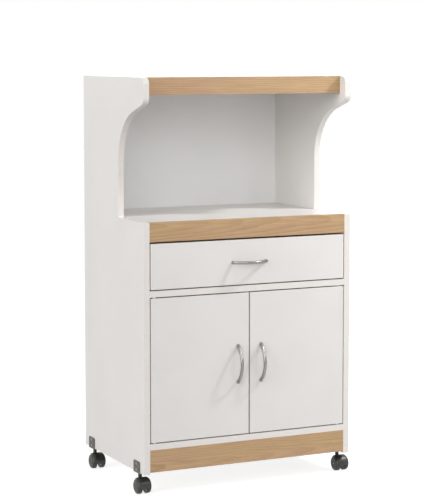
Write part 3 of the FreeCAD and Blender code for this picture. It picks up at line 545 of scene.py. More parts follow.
class Shader:
    """A node material that reads Object coordinates."""

    def __init__(self, name: str, colour: Colour, roughness: float,
                 metallic: float = 0.0) -> None:
        """Makes the material and sets its shader's own sockets.

        Args:
            name: The material's name.
            colour: Its base colour.
            roughness: Its roughness, from 0 to 1.
            metallic: 1 for metal.
        """
        self.material = bpy.data.materials.new(name)
        self.material.use_nodes = True
        self.tree = self.material.node_tree
        self.surface = self.tree.nodes["Principled BSDF"]
        self.surface.inputs["Base Color"].default_value = (*colour, 1)
        self.surface.inputs["Roughness"].default_value = roughness
        self.surface.inputs["Metallic"].default_value = metallic
        self.coordinates = self.node("ShaderNodeTexCoord").outputs["Object"]
        self.material.diffuse_color = (*colour, 1)

    def node(self, kind: str, inputs: Optional[Dict[object, object]] = None,
             **settings: object) -> bpy.types.Node:
        """Adds a node.

        Args:
            kind: Blender's name of the node.
            inputs: Values or sockets for its inputs, by name or number.
            **settings: The node's own settings.

        Returns:
            The node.
        """
        made = self.tree.nodes.new(kind)
        for setting, value in settings.items():
            setattr(made, setting, value)
        for key, value in (inputs or {}).items():
            if isinstance(value, bpy.types.NodeSocket):
                self.tree.links.new(value, made.inputs[key])
            else:
                made.inputs[key].default_value = value
        return made

    def mapped(self, scale: Sequence[float], offset: Sequence[float] = (0, 0, 0)
               ) -> bpy.types.NodeSocket:
        """Object coordinates, scaled along each axis and then moved."""
        return self.node("ShaderNodeMapping", {"Vector": self.coordinates, "Scale": scale,
                                               "Location": offset}).outputs[0]

    def noise(self, scale: float, detail: float = 2, place: Optional[bpy.types.NodeSocket] = None,
              distortion: float = 0) -> bpy.types.NodeSocket:
        """Noise from 0 to 1.

        Args:
            scale: Waves in a metre.
            detail: Octaves.
            place: Coordinates, if not the object's own.
            distortion: How far it swirls.

        Returns:
            The noise's socket.
        """
        return self.node("ShaderNodeTexNoise", {
            "Vector": place or self.coordinates, "Scale": scale, "Detail": detail,
            "Distortion": distortion}).outputs[0]

    def grain(self, waves: Sequence[float], detail: float = 2,
              offset: Sequence[float] = (0, 0, 0)) -> bpy.types.NodeSocket:
        """Noise with its own number of waves in a metre along each axis."""
        return self.noise(1, detail, self.mapped(waves, offset))

    def spread(self, value: bpy.types.NodeSocket, span: Span,
               onto: Span = (0, 1)) -> bpy.types.NodeSocket:
        """Maps a range of values onto another one, and clamps it.

        Args:
            value: The socket to map.
            span: The lowest and highest value of the range.
            onto: What those two become.

        Returns:
            The mapped socket.
        """
        return self.node("ShaderNodeMapRange", {
            "Value": value, "From Min": span[0], "From Max": span[1], "To Min": onto[0],
            "To Max": onto[1]}).outputs[0]

    def maths(self, operation: str, *values: object) -> bpy.types.NodeSocket:
        """A Math node on sockets or numbers."""
        return self.node("ShaderNodeMath", dict(enumerate(values)),
                         operation=operation).outputs[0]

    def mix(self, share: object, first: object, second: object) -> bpy.types.NodeSocket:
        """Mixes two colours.

        Args:
            share: How much of the second.
            first: A colour or a socket.
            second: A colour or a socket.

        Returns:
            The mixed colour's socket.
        """
        def paint(colour: object) -> object:
            """A colour with its alpha, or the socket as it is."""
            return (*colour, 1) if isinstance(colour, tuple) else colour

        return self.node("ShaderNodeMix", {0: share, 6: paint(first), 7: paint(second)},
                         data_type="RGBA").outputs[2]

    def colour(self, socket: bpy.types.NodeSocket) -> None:
        """Feeds the base colour."""
        self.tree.links.new(socket, self.surface.inputs["Base Color"])

    def roughness(self, socket: bpy.types.NodeSocket) -> None:
        """Feeds the roughness."""
        self.tree.links.new(socket, self.surface.inputs["Roughness"])

    def bump(self, height: bpy.types.NodeSocket, depth: float, strength: float = 1) -> None:
        """Raises the surface, over any bump that it has.

        Args:
            height: Height from 0 to 1.
            depth: Height of 1, in metres.
            strength: How much of it shows.
        """
        normal = self.surface.inputs["Normal"]
        below = normal.links[0].from_socket if normal.is_linked else None
        bump = self.node("ShaderNodeBump", {"Height": height, "Distance": depth,
                                            "Strength": strength})
        if below:
            self.tree.links.new(below, bump.inputs["Normal"])
        self.tree.links.new(bump.outputs[0], normal)


@dataclass(frozen=True)
class Laminate:
    """White melamine laminate: fine orange peel and a barely mottled white."""

    name: str = "white_laminate"
    colour: Colour = srgb(229, 226, 223)
    shade: Colour = srgb(226, 223, 220)
    roughness: float = 0.36
    drift: Span = (0.32, 0.42)
    peel: float = 900
    mottle: float = 7
    smears: float = 60

    def make(self) -> bpy.types.Material:
        """Makes the material.

        Returns:
            The material.
        """
        shader = Shader(self.name, self.colour, self.roughness)
        cloud = shader.noise(self.mottle, detail=4)
        shader.colour(shader.mix(shader.spread(cloud, (0.35, 0.65)), self.colour, self.shade))
        shader.roughness(shader.spread(shader.noise(self.smears, detail=3), NOISE, self.drift))
        shader.bump(shader.noise(self.peel, detail=2), depth=0.05 * MM, strength=0.5)
        return shader.material


@dataclass(frozen=True)
class EdgeBand:
    """Plastic edge band: a little warmer and glossier than the laminate, finely grained."""

    name: str = "white_edge_band"
    colour: Colour = srgb(233, 228, 223)
    shade: Colour = srgb(228, 223, 218)
    roughness: float = 0.3
    drift: Span = (0.26, 0.36)
    clouds: float = 25
    grains: float = 1500
    smears: float = 90

    def make(self) -> bpy.types.Material:
        """Makes the material.

        Returns:
            The material.
        """
        shader = Shader(self.name, self.colour, self.roughness)
        shader.colour(shader.mix(shader.noise(self.clouds, detail=3), self.colour, self.shade))
        shader.bump(shader.noise(self.grains, detail=1), depth=0.03 * MM, strength=0.4)
        shader.roughness(shader.spread(shader.noise(self.smears, detail=2), NOISE, self.drift))
        return shader.material


@dataclass(frozen=True)
class OakLaminate:
    """Oak-look laminate whose grain runs along X, with growth rings that close in arches.

    The rings are those of a tapering trunk cut lengthways: distance from a pith line that
    drifts away from the face along the board.
    """

    name: str
    pith_height: float
    pith_depth: float
    taper: float = 0.035
    ring: float = 0.0045
    height_sway: float = 0.018
    depth_sway: float = 0.012
    ring_tremble: float = 0.0022
    roughness: float = 0.42
    drift: Span = (0.36, 0.50)
    light: Colour = srgb(200, 168, 131)
    dark: Colour = srgb(160, 127, 89)
    yellow: Colour = srgb(192, 161, 112)
    pink: Colour = srgb(192, 152, 122)
    pores: Colour = srgb(136, 103, 69)

    def make(self) -> bpy.types.Material:
        """Makes the material.

        Returns:
            The material.
        """
        shader = Shader(self.name, self.light, self.roughness)
        ring = self.rings(shader)

        fibre = shader.grain((14, 60, 900), detail=4)
        pore = shader.spread(shader.grain((110, 400, 2600)), (0.60, 0.72))
        patch = shader.spread(shader.grain((4, 4, 30), offset=(3.1, 0, 1.7)), (0.35, 0.65))
        streak = shader.spread(shader.grain((9, 9, 170), offset=(0, 2.3, 0.6)), (0.38, 0.62))

        ground = shader.mix(patch, self.yellow, self.pink)
        ground = shader.mix(shader.maths("MULTIPLY_ADD", streak, 0.5, 0.2), ground, self.light)
        strength = shader.spread(shader.grain((3, 3, 40), detail=1, offset=(0, 0, 5)), NOISE,
                                 (0.25, 0.75))
        grained = shader.mix(shader.maths("MULTIPLY", ring, strength), ground, self.dark)
        grained = shader.mix(shader.spread(fibre, (0.35, 0.7), (0, 0.55)), grained, self.dark)
        grained = shader.mix(shader.maths("MULTIPLY", pore, 0.35), grained, self.pores)
        shader.colour(grained)
        shader.roughness(shader.spread(fibre, NOISE, self.drift))
        shader.bump(fibre, depth=0.06 * MM, strength=0.5)
        shader.bump(pore, depth=-0.06 * MM, strength=0.5)
        return shader.material

    def rings(self, shader: Shader) -> bpy.types.NodeSocket:
        """The growth rings, each slowly darker outwards and then suddenly pale.

        Args:
            shader: The finish's shader.

        Returns:
            How dark the ring is, from 0 to 1.
        """
        along = shader.node("ShaderNodeSeparateXYZ", {0: shader.coordinates}).outputs
        sway = shader.maths("SUBTRACT", shader.grain((4, 3, 18)), 0.5)
        tremble = shader.maths("SUBTRACT", shader.grain((30, 30, 220)), 0.5)

        height = shader.maths("SUBTRACT", along["Z"], self.pith_height)
        height = shader.maths("MULTIPLY_ADD", sway, self.height_sway, height)
        depth = shader.maths("MULTIPLY_ADD", along["X"], self.taper, self.pith_depth)
        depth = shader.maths("MULTIPLY_ADD", sway, self.depth_sway, depth)
        height = shader.maths("MULTIPLY", height, height)
        depth = shader.maths("MULTIPLY", depth, depth)
        reach = shader.maths("SQRT", shader.maths("ADD", height, depth))
        reach = shader.maths("MULTIPLY_ADD", tremble, self.ring_tremble, reach)
        phase = shader.maths("FRACT", shader.maths("DIVIDE", reach, self.ring))
        late = shader.spread(phase, (0.25, 0.92))
        early = shader.spread(phase, (0.92, 1), (1, 0))
        return shader.maths("MULTIPLY", late, early)


@dataclass(frozen=True)
class RawBoard:
    """Bare particle board, as in drilled holes, grooves and the panels' bottom edges."""

    name: str = "raw_particle_board"
    colour: Colour = srgb(190, 164, 128)
    pale_chip: Colour = srgb(205, 182, 148)
    dark_chip: Colour = srgb(158, 128, 92)
    gaps: Colour = srgb(120, 92, 64)
    roughness: float = 0.85
    chips: float = 650
    specks: float = 900

    def make(self) -> bpy.types.Material:
        """Makes the material.

        Returns:
            The material.
        """
        shader = Shader(self.name, self.colour, self.roughness)
        chip = shader.node("ShaderNodeTexVoronoi", {"Vector": shader.coordinates,
                                                    "Scale": self.chips})
        tone = shader.node("ShaderNodeSeparateColor", {0: chip.outputs["Color"]}).outputs[0]
        shade = shader.mix(tone, self.pale_chip, self.dark_chip)
        speck = shader.spread(shader.noise(self.specks, detail=3), (0.5, 0.75), (0, 0.6))
        shader.colour(shader.mix(speck, shade, self.gaps))
        shader.bump(tone, depth=0.2 * MM, strength=0.8)
        return shader.material


@dataclass(frozen=True)
class Hardboard:
    """Thin fibre board, either painted white or bare brown."""

    name: str
    colour: Colour
    fleck: Colour
    fleck_share: float
    roughness: float
    fibres: Tuple[float, float, float] = (260, 260, 420)
    clouds: float = 9

    def make(self) -> bpy.types.Material:
        """Makes the material.

        Returns:
            The material.
        """
        shader = Shader(self.name, self.colour, self.roughness)
        fibre = shader.noise(1, detail=5, place=shader.mapped(self.fibres), distortion=0.6)
        cloud = shader.noise(self.clouds, detail=3)
        fleck = shader.maths("MULTIPLY", shader.spread(fibre, (0.42, 0.68)), self.fleck_share)
        shade = shader.mix(fleck, self.colour, self.fleck)
        shader.colour(shader.mix(shader.spread(cloud, NOISE, (0, self.fleck_share)), shade,
                                 self.fleck))
        shader.roughness(shader.spread(fibre, NOISE, (self.roughness - 0.05,
                                                      self.roughness + 0.1)))
        shader.bump(fibre, depth=0.08 * MM, strength=0.6)
        return shader.material


@dataclass(frozen=True)
class Moulded:
    """Moulded plastic with a fine spark texture and slightly uneven gloss."""

    name: str
    colour: Colour
    second: Colour
    roughness: float
    sparks: float = 1400
    depth: float = 0.02 * MM
    clouds: float = 70
    smears: float = 180

    def make(self) -> bpy.types.Material:
        """Makes the material.

        Returns:
            The material.
        """
        shader = Shader(self.name, self.colour, self.roughness)
        cloud = shader.spread(shader.noise(self.clouds, detail=4), (0.35, 0.7))
        shader.colour(shader.mix(cloud, self.colour, self.second))
        smear = shader.noise(self.smears, detail=3)
        shader.roughness(shader.spread(smear, NOISE, (self.roughness - 0.06,
                                                      self.roughness + 0.08)))
        shader.bump(shader.noise(self.sparks, detail=2), self.depth, strength=0.6)
        return shader.material


@dataclass(frozen=True)
class PowderCoat:
    """Epoxy-coated steel of the drawer's runners."""

    name: str = "coated_steel"
    colour: Colour = srgb(226, 225, 222)
    shade: Colour = srgb(212, 211, 208)
    roughness: float = 0.4
    drift: Span = (0.34, 0.48)
    peel: float = 480

    def make(self) -> bpy.types.Material:
        """Makes the material.

        Returns:
            The material.
        """
        shader = Shader(self.name, self.colour, self.roughness)
        peel = shader.noise(self.peel, detail=3)
        shader.colour(shader.mix(shader.spread(peel, (0.35, 0.7), (0, 0.5)), self.colour,
                                 self.shade))
        shader.roughness(shader.spread(peel, NOISE, self.drift))
        shader.bump(peel, depth=0.08 * MM, strength=0.6)
        return shader.material


@dataclass(frozen=True)
class Metal:
    """Plated or bare metal, whose tone and gloss drift in fine spangles."""

    name: str
    colour: Colour
    second: Colour
    roughness: float
    spangles: float
    unevenness: float = 0.06

    def make(self) -> bpy.types.Material:
        """Makes the material.

        Returns:
            The material.
        """
        shader = Shader(self.name, self.colour, self.roughness, metallic=1)
        waves = (self.spangles, self.spangles, self.spangles)
        spangle = shader.grain(waves, detail=3)
        shader.colour(shader.mix(shader.spread(spangle, (0.35, 0.65)), self.colour, self.second))
        gloss = shader.grain(waves, offset=(2, 5, 1))
        shader.roughness(shader.spread(gloss, NOISE, (self.roughness - self.unevenness,
                                                      self.roughness + self.unevenness)))
        shader.bump(spangle, depth=0.01 * MM, strength=0.3)
        return shader.material


@dataclass
class Finishes:
    """Every material of the stand, made once."""

    laminate: bpy.types.Material = field(default_factory=lambda: Laminate().make())
    band: bpy.types.Material = field(default_factory=lambda: EdgeBand().make())
    raw: bpy.types.Material = field(default_factory=lambda: RawBoard().make())
    # The painted hardboard's white is lighter than the laminate's. It is the board's own white
    # with painted light added, so the shaded bay behind the counter comes out lighter.
    painted_back: bpy.types.Material = field(default_factory=lambda: Hardboard(
        "painted_hardboard", srgb(241, 241, 241), srgb(234, 234, 234),
        fleck_share=0.35, roughness=0.5).make())
    bare_back: bpy.types.Material = field(default_factory=lambda: Hardboard(
        "bare_hardboard", srgb(150, 112, 76), srgb(112, 80, 52),
        fleck_share=0.6, roughness=0.75).make())
    plastic: bpy.types.Material = field(default_factory=lambda: Moulded(
        "white_plastic", srgb(232, 231, 228), srgb(224, 223, 219), roughness=0.34).make())
    nylon: bpy.types.Material = field(default_factory=lambda: Moulded(
        "black_nylon", srgb(37, 37, 35), srgb(46, 46, 43), roughness=0.34).make())
    tread: bpy.types.Material = field(default_factory=lambda: Moulded(
        "black_tread", srgb(32, 32, 31), srgb(46, 45, 43), roughness=0.55,
        sparks=700, depth=0.06 * MM).make())
    coated: bpy.types.Material = field(default_factory=lambda: PowderCoat().make())
    # The chrome's colour is darker than plated metal's own. This is painted shade standing in for
    # darker surroundings in its reflection; the glint lamps light its upper half.
    chrome: bpy.types.Material = field(default_factory=lambda: Metal(
        "satin_chrome", srgb(144, 139, 136), srgb(133, 129, 126), roughness=0.24,
        spangles=900).make())
    zinc: bpy.types.Material = field(default_factory=lambda: Metal(
        "zinc_plate", srgb(99, 96, 93), srgb(85, 82, 79), roughness=0.42,
        spangles=160, unevenness=0.1).make())
    screw: bpy.types.Material = field(default_factory=lambda: Metal(
        "zinc_screw", srgb(158, 155, 151), srgb(140, 137, 134), roughness=0.3,
        spangles=400).make())
    bright: bpy.types.Material = field(default_factory=lambda: Metal(
        "bright_steel", srgb(205, 204, 202), srgb(188, 187, 186), roughness=0.22,
        spangles=300).make())
    magnet: bpy.types.Material = field(default_factory=lambda: Moulded(
        "magnet", srgb(62, 60, 58), srgb(48, 47, 46), roughness=0.6,
        sparks=900, depth=0.05 * MM).make())

    def dress_node(self, node: str, material: bpy.types.Material) -> None:
        """Gives a material to a CAD node that is shown as it is.

        Args:
            node: The CAD node's name.
            material: Its material.
        """
        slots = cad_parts[node].data.materials
        slots.clear()
        slots.append(material)
        LOG.info("%s keeps its CAD shape in %s", node, material.name)


# ---- boards ---------------------------------------------------------------------------------


@dataclass
class Boards:
    """Laminated boards: eased edges, banded all round, bare where they are cut into."""

    finishes: Finishes
    ease: float = 0.5 * MM
    flat_limit: float = 0.99

    def laminated(self, node: str, body: str, thickness: Axis, face: bpy.types.Material,
                  band: bpy.types.Material, slot: Slot = Slot.BOARD,
                  bare: Optional[Test] = None) -> Piece:
        """Makes a board from its CAD node.

        Args:
            node: The board's node.
            body: The body that it rides on.
            thickness: The axis across the board.
            face: The laminate of its two broad faces.
            band: The band of its edges.
            slot: The record's slot of its finish.
            bare: A test of the faces that are left bare.

        Returns:
            The finished board.
        """
        piece = Piece.of_node(node).ease(self.ease).smooth()
        piece.dress(band)
        piece.dress(face, lambda centre, normal: abs(normal[thickness]) > self.flat_limit)
        if bare:
            piece.dress(self.finishes.raw, bare)
        return piece.fit(body, slot, node)


# ---- small fittings -------------------------------------------------------------------------


@dataclass
class PanScrew:
    """The head of a pan-head screw with a cross recess, made along +X with its seat at 0.

    The sizes with a default are shares of the head's radius or height.
    """

    radius: float
    height: float
    material: bpy.types.Material
    slot_width: float = 0.25
    slot_reach: float = 0.62
    slot_floor: float = 0.35
    seat_depth: float = 0.2
    seat_radius: float = 0.9
    rim_height: float = 0.45
    rim_round: float = 0.3
    crown_radius: float = 0.55
    crown_round: float = 0.9

    def make(self) -> Piece:
        """Turns the head and cuts the cross out of it.

        Returns:
            The head, to be copied into place.
        """
        radius, height = self.radius, self.height
        depth = self.seat_depth * height
        head = Piece.turned("screw_pattern", rounded([
            (-depth, 0, 0), (-depth, self.seat_radius * radius, 0), (0, radius, 0),
            (self.rim_height * height, radius, self.rim_round * height),
            (height, self.crown_radius * radius, self.crown_round * radius),
            (height, 0, 0)], closed=False), steps=32)
        arm, half = self.slot_reach * radius, self.slot_width * radius / 2
        floor = self.slot_floor * height
        for wide, tall in ((arm, half), (half, arm)):
            slot = Piece.block("slot", (floor, -wide, -tall), (2 * height, wide, tall))
            head.combine(Join.CUT, slot)
        return head.smooth(angle=30).dress(self.material)


@dataclass
class Fasteners:
    """Screw heads, cam discs and nails, each modelled once and copied.

    A screw's size is the radius and the height of its head, and the cam slot's size is half
    its length, half its width and its depth.
    """

    finishes: Finishes
    bracket_screw: Flat = (3.5 * MM, 1.8 * MM)
    runner_screw: Flat = (3.4 * MM, 1.2 * MM)
    handle_screw: Flat = (4.2 * MM, 2.2 * MM)
    strike_screw: Flat = (2.6 * MM, 1.4 * MM)
    cam_radius: float = 7.5 * MM
    cam_proud: float = 0.25 * MM
    cam_depth: float = 2 * MM
    cam_round: float = 0.2 * MM
    cam_rim: float = 1.1 * MM
    cam_well: float = 1.4 * MM
    cam_sink: float = 0.3 * MM
    cam_slot: Tuple[float, float, float] = (4.2 * MM, 0.7 * MM, 1.6 * MM)
    nail_radius: float = 2.4 * MM
    nail_height: float = 0.5 * MM
    nail_rim: float = 0.2 * MM
    nail_crown: float = 1.2 * MM
    nail_dome: float = 1 * MM
    patterns: Dict[Fastener, Piece] = field(default_factory=dict)

    def __post_init__(self) -> None:
        """Makes the patterns."""
        for fastener, size, material in (
                (Fastener.BRACKET_SCREW, self.bracket_screw, self.finishes.screw),
                (Fastener.RUNNER_SCREW, self.runner_screw, self.finishes.coated),
                (Fastener.HANDLE_SCREW, self.handle_screw, self.finishes.bright),
                (Fastener.STRIKE_SCREW, self.strike_screw, self.finishes.bright)):
            self.patterns[fastener] = PanScrew(*size, material).make()
        self.patterns[Fastener.CAM] = self.cam()
        self.patterns[Fastener.NAIL] = self.nail()

    def cam(self) -> Piece:
        """Makes a cam-lock disc with its cross slot, almost flush with the board.

        Returns:
            The disc, to be copied into place.
        """
        radius, proud = self.cam_radius, self.cam_proud
        disc = Piece.turned("cam_pattern", rounded([
            (-self.cam_depth, 0, 0), (-self.cam_depth, radius, 0),
            (proud, radius, self.cam_round), (proud, radius - self.cam_rim, 0),
            (-self.cam_sink, radius - self.cam_well, 0), (-self.cam_sink, 0, 0)],
            closed=False), steps=40)
        reach, half, depth = self.cam_slot
        for wide, tall in ((reach, half), (half, reach)):
            slot = Piece.block("slot", (-depth, -wide, -tall), (CLEAR, wide, tall))
            disc.combine(Join.CUT, slot)
        return disc.smooth(angle=30).dress(self.finishes.zinc)

    def nail(self) -> Piece:
        """Makes the low domed head of a back panel's nail.

        Returns:
            The head, to be copied into place.
        """
        profile = rounded([(-self.nail_rim, 0, 0), (-self.nail_rim, self.nail_radius, 0),
                           (self.nail_rim, self.nail_radius, self.nail_rim / 2),
                           (self.nail_height, self.nail_crown, self.nail_dome),
                           (self.nail_height, 0, 0)], closed=False)
        return Piece.turned("nail_pattern", profile, steps=18).smooth().dress(
            self.finishes.bright)

    def put(self, fastener: Fastener, name: str, body: str, slot: Slot, towards: Towards,
            place: Sequence[float], *nodes: str) -> Piece:
        """Copies a fastener into place.

        Args:
            fastener: Which one.
            name: The copy's name.
            body: The body that it rides on.
            slot: The record's slot of its finish.
            towards: Where its head faces.
            place: Where its seat is.
            *nodes: CAD nodes that it stands for.

        Returns:
            The fastener.
        """
        piece = self.patterns[fastener].copied(name, towards.at(place))
        return piece.fit(body, slot, *nodes)

    def clear(self) -> None:
        """Discards the patterns."""
        for piece in self.patterns.values():
            piece.discard()


@dataclass
class BowHandle:
    """A bow handle: an oval bar bent to an arc, with a collared foot at each end.

    The bar is bent spare_turn degrees further than needed and then cut flush. A foot is
    straight up to foot_collar of its height, and its top has foot_top of its radius.
    """

    finishes: Finishes
    fasteners: Fasteners
    thick: float = 6 * MM
    width: float = 8 * MM
    back_round: float = 1.6 * MM
    front_round: float = 2.8 * MM
    spare_turn: float = 2
    foot_radius: float = 4.5 * MM
    foot_height: float = 5 * MM
    foot_collar: float = 0.6
    foot_top: float = 0.86
    foot_round: float = 0.8 * MM
    steps: int = 40

    def build(self, node: str, body: str, upright: bool, inside: float) -> None:
        """Makes the handle of a node and the heads of its two screws.

        Args:
            node: The handle's node.
            body: The body that it rides on.
            upright: Whether it stands upright or lies along X.
            inside: Y of the face that the screws' heads bear on.
        """
        low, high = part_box(node)
        middle = (low + high) / 2
        length = (high - low)[Axis.Z if upright else Axis.X]
        rise = high.y - low.y - self.thick / 2
        half_span = length / 2 - self.foot_radius
        bend = (half_span ** 2 + rise ** 2) / (2 * rise)
        reach = 2 * math.degrees(math.acos((bend - rise) / (bend + self.thick / 2)))

        half, deep = self.width / 2, self.thick / 2
        section = rounded([
            (-half, bend - deep, self.back_round), (-half, bend + deep, self.front_round),
            (half, bend + deep, self.front_round), (half, bend - deep, self.back_round)])
        bar = Piece.bent(f"{node}_bow", section, reach + self.spare_turn, self.steps)
        with bar.editing():
            bpy.ops.mesh.bisect(plane_co=(0, 0, bend - rise), plane_no=(0, 0, 1),
                                use_fill=True, clear_inner=True, threshold=WELD)
        foot = Piece.turned("foot", rounded([
            (0, 0, 0), (0, self.foot_radius, 0),
            (self.foot_collar * self.foot_height, self.foot_radius, self.foot_round),
            (self.foot_height, self.foot_top * self.foot_radius, self.foot_round),
            (self.foot_height, 0, 0)], closed=False), steps=32)
        feet = [foot.copied("foot_end", Matrix.Translation((0, end, bend - rise))
                            @ Towards.UP.value) for end in (-half_span, half_span)]
        foot.discard()
        bar.combine(Join.ADD, *feet).weld()
        # The bar is bent about X and bulges to +Z, so it is turned to bulge to the front.
        to_front = Matrix.Rotation(math.pi / 2, 4, "X")
        if not upright:
            to_front = to_front @ Matrix.Rotation(math.pi / 2, 4, "Z")
        axis = Matrix.Translation((middle.x, high.y + bend - rise, middle.z))
        bar.moved(axis @ to_front).smooth(angle=40).dress(self.finishes.chrome)
        bar.fit(body, Slot.CHROME, node)

        for end, sign in (("first", -1), ("second", 1)):
            along = Vector((0, 0, sign * half_span) if upright else (sign * half_span, 0, 0))
            place = Vector((middle.x, inside, middle.z)) + along
            self.fasteners.put(Fastener.HANDLE_SCREW, f"{node}_{end}_screw", body, Slot.BRIGHT,
                               Towards.REAR, place)


# ---- carcass --------------------------------------------------------------------------------


@dataclass
class Carcass:
    """Side panels, shelves, rails, backs and what joins them.

    A rail's pith is given by its height over the rail's foot, as a share of the rail's
    height, and by its depth in metres.
    """

    finishes: Finishes
    fasteners: Fasteners
    boards: Boards
    body: str = "carcass"
    cut_depth: float = 9 * MM
    hole_margin: float = 1 * MM
    rail_piths: Tuple[Tuple[str, float, float], ...] = (
        ("top_rail", -0.8, 0.020), ("counter_rail", 0.8, 0.050), ("base_rail", 0.2, 0.030))
    joined_shelves: Tuple[str, ...] = (
        "top_shelf", "counter_board", "divider_board", "base_shelf")
    cam_inset: float = 34 * MM
    cam_margin: float = 55 * MM
    nails: int = 6
    nail_margin: float = 30 * MM
    peg_reach: float = 8 * MM
    peg_edge: float = 0.6 * MM
    peg_nose: float = 1.2 * MM

    def build(self) -> None:
        """Builds the carcass."""
        self.side_panels()
        self.shelves()
        self.rails()
        self.backs()
        self.pegs()
        self.cams()

    def side_panels(self) -> None:
        """Side panels, bare in their grooves, peg holes and on their bottom edges."""
        for side in Side:
            node = f"{side.label}_side_panel"
            low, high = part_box(node)
            inner = high.x if side is Side.LEFT else low.x

            def bare(centre: Vector, normal: Vector, inner: float = inner,
                     floor: float = low.z) -> bool:
                """Tells the faces cut into the panel, and its bottom edge.

                Args:
                    centre: The middle of a face.
                    normal: Its normal.
                    inner: X of the panel's inner face.
                    floor: Z of its bottom edge.

                Returns:
                    Whether the face is bare.
                """
                depth = abs(centre.x - inner)
                cut_into = SKIN < depth < self.cut_depth
                whole_edge = abs(depth - (high.x - low.x) / 2) < SKIN
                under = centre.z < floor + SKIN and normal.z < -FACING
                return (cut_into and not whole_edge) or under

            self.boards.laminated(node, self.body, Axis.X, self.finishes.laminate,
                                  self.finishes.band, bare=bare)

    def shelves(self) -> None:
        """Top shelf, counter, divider, base shelf and the loose shelf."""
        for node in (*self.joined_shelves, "loose_shelf"):
            low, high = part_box(node)

            def bare(centre: Vector, normal: Vector, low: Vector = low,
                     high: Vector = high) -> bool:
                """Tells the ends and rear edge, and the walls of drilled holes.

                Args:
                    centre: The middle of a face.
                    normal: Its normal.
                    low: The board's lowest corner.
                    high: Its highest corner.

                Returns:
                    Whether the face is bare.
                """
                inside = (low.x + self.hole_margin < centre.x < high.x - self.hole_margin
                          and low.y + self.hole_margin < centre.y < high.y - self.hole_margin)
                end = abs(normal.x) > FACING or normal.y > FACING
                return abs(normal.z) < UPRIGHT and (inside or end)

            self.boards.laminated(node, self.body, Axis.Z, self.finishes.laminate,
                                  self.finishes.band, bare=bare)

    def rails(self) -> None:
        """The oak rails, each with a grain of its own."""
        for node, share, depth in self.rail_piths:
            low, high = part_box(node)
            pith = low.z + share * (high.z - low.z)
            oak = OakLaminate(f"oak_{node}", pith, depth).make()
            self.boards.laminated(node, self.body, Axis.Y, oak, oak, Slot.OAK)

    def backs(self) -> None:
        """Back panels, painted inside and bare behind, their joint strip and their nails."""
        for node in ("upper_back_panel", "lower_back_panel"):
            piece = Piece.of_node(node).dress(self.finishes.bare_back)
            piece.dress(self.finishes.painted_back, lambda centre, normal: normal.y < -FACING)
            piece.fit(self.body, Slot.BACK, node)
        self.finishes.dress_node("back_joint_strip", self.finishes.plastic)

        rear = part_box("upper_back_panel")[1].y
        for shelf in self.joined_shelves:
            low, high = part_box(shelf)
            run = high.x - low.x - 2 * self.nail_margin
            for count in range(self.nails):
                across = low.x + self.nail_margin + run * count / (self.nails - 1)
                self.fasteners.put(Fastener.NAIL, f"{shelf}_nail_{count + 1}", self.body,
                                   Slot.BRIGHT, Towards.REAR,
                                   (across, rear, (low.z + high.z) / 2))

    def pegs(self) -> None:
        """The loose shelf's pegs, plain pins with rounded ends."""
        low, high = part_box("shelf_pegs")
        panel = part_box("right_side_panel")[0].x
        radius, depth = (high.z - low.z) / 2, high.x - panel
        peg = Piece.turned("peg_pattern", rounded([
            (-depth, 0, 0), (-depth, radius, self.peg_edge),
            (self.peg_reach, radius, self.peg_nose), (self.peg_reach, 0, 0)],
            closed=False), steps=28)
        peg.smooth().dress(self.finishes.bright)
        rows = (low.y + radius, high.y - radius)
        node = ("shelf_pegs",)
        for side in Side:
            towards = Towards.RIGHT if side is Side.LEFT else Towards.LEFT
            for end, row in zip(End, rows):
                place = (side.value * panel, row, low.z + radius)
                peg.copied(f"{side.label}_{end.value}_peg", towards.at(place)).fit(
                    self.body, Slot.BRIGHT, *node)
                node = ()
        peg.discard()

    def cams(self) -> None:
        """Cam discs under the boards, near the side panels."""
        for shelf in self.joined_shelves:
            low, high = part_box(shelf)
            for side in Side:
                across = side.value * (high.x - self.cam_inset)
                rows = (low.y + self.cam_margin, high.y - self.cam_margin)
                for end, row in zip(End, rows):
                    name = f"{shelf}_{side.label}_{end.value}_cam"
                    self.fasteners.put(Fastener.CAM, name, self.body, Slot.ZINC, Towards.DOWN,
                                       (across, row, low.z))


# ---- drawer ---------------------------------------------------------------------------------


@dataclass
class RunnerRoller:
    """A runner's roller: rounded rim and a sunk face between hub and rim.

    The sizes from hub to rim are shares of the roller's radius.
    """

    finishes: Finishes
    bore: float = 2.6 * MM
    sink: float = 1.1 * MM
    edge: float = 0.3 * MM
    tread_round: float = 0.9 * MM
    hub: float = 0.42
    well_foot: float = 0.5
    well_top: float = 0.78
    rim: float = 0.86

    def build(self, node: str) -> None:
        """Makes the roller of a node, which rides on the body of that name.

        Args:
            node: The roller's node.
        """
        low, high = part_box(node)
        middle = (low + high) / 2
        half, radius = (high.x - low.x) / 2, (high.z - low.z) / 2
        well = half - self.sink
        profile = rounded([
            (-half, self.bore, self.edge), (-half, self.hub * radius, self.edge),
            (-well, self.well_foot * radius, self.edge),
            (-well, self.well_top * radius, self.edge),
            (-half, self.rim * radius, self.edge), (-half, radius, self.tread_round),
            (half, radius, self.tread_round), (half, self.rim * radius, self.edge),
            (well, self.well_top * radius, self.edge),
            (well, self.well_foot * radius, self.edge),
            (half, self.hub * radius, self.edge), (half, self.bore, self.edge)])
        wheel = Piece.turned(f"{node}_wheel", profile, steps=56, closed=True)
        wheel.moved(Towards.RIGHT.at(middle)).smooth().dress(self.finishes.plastic)
        wheel.fit(node, Slot.PLASTIC, node)


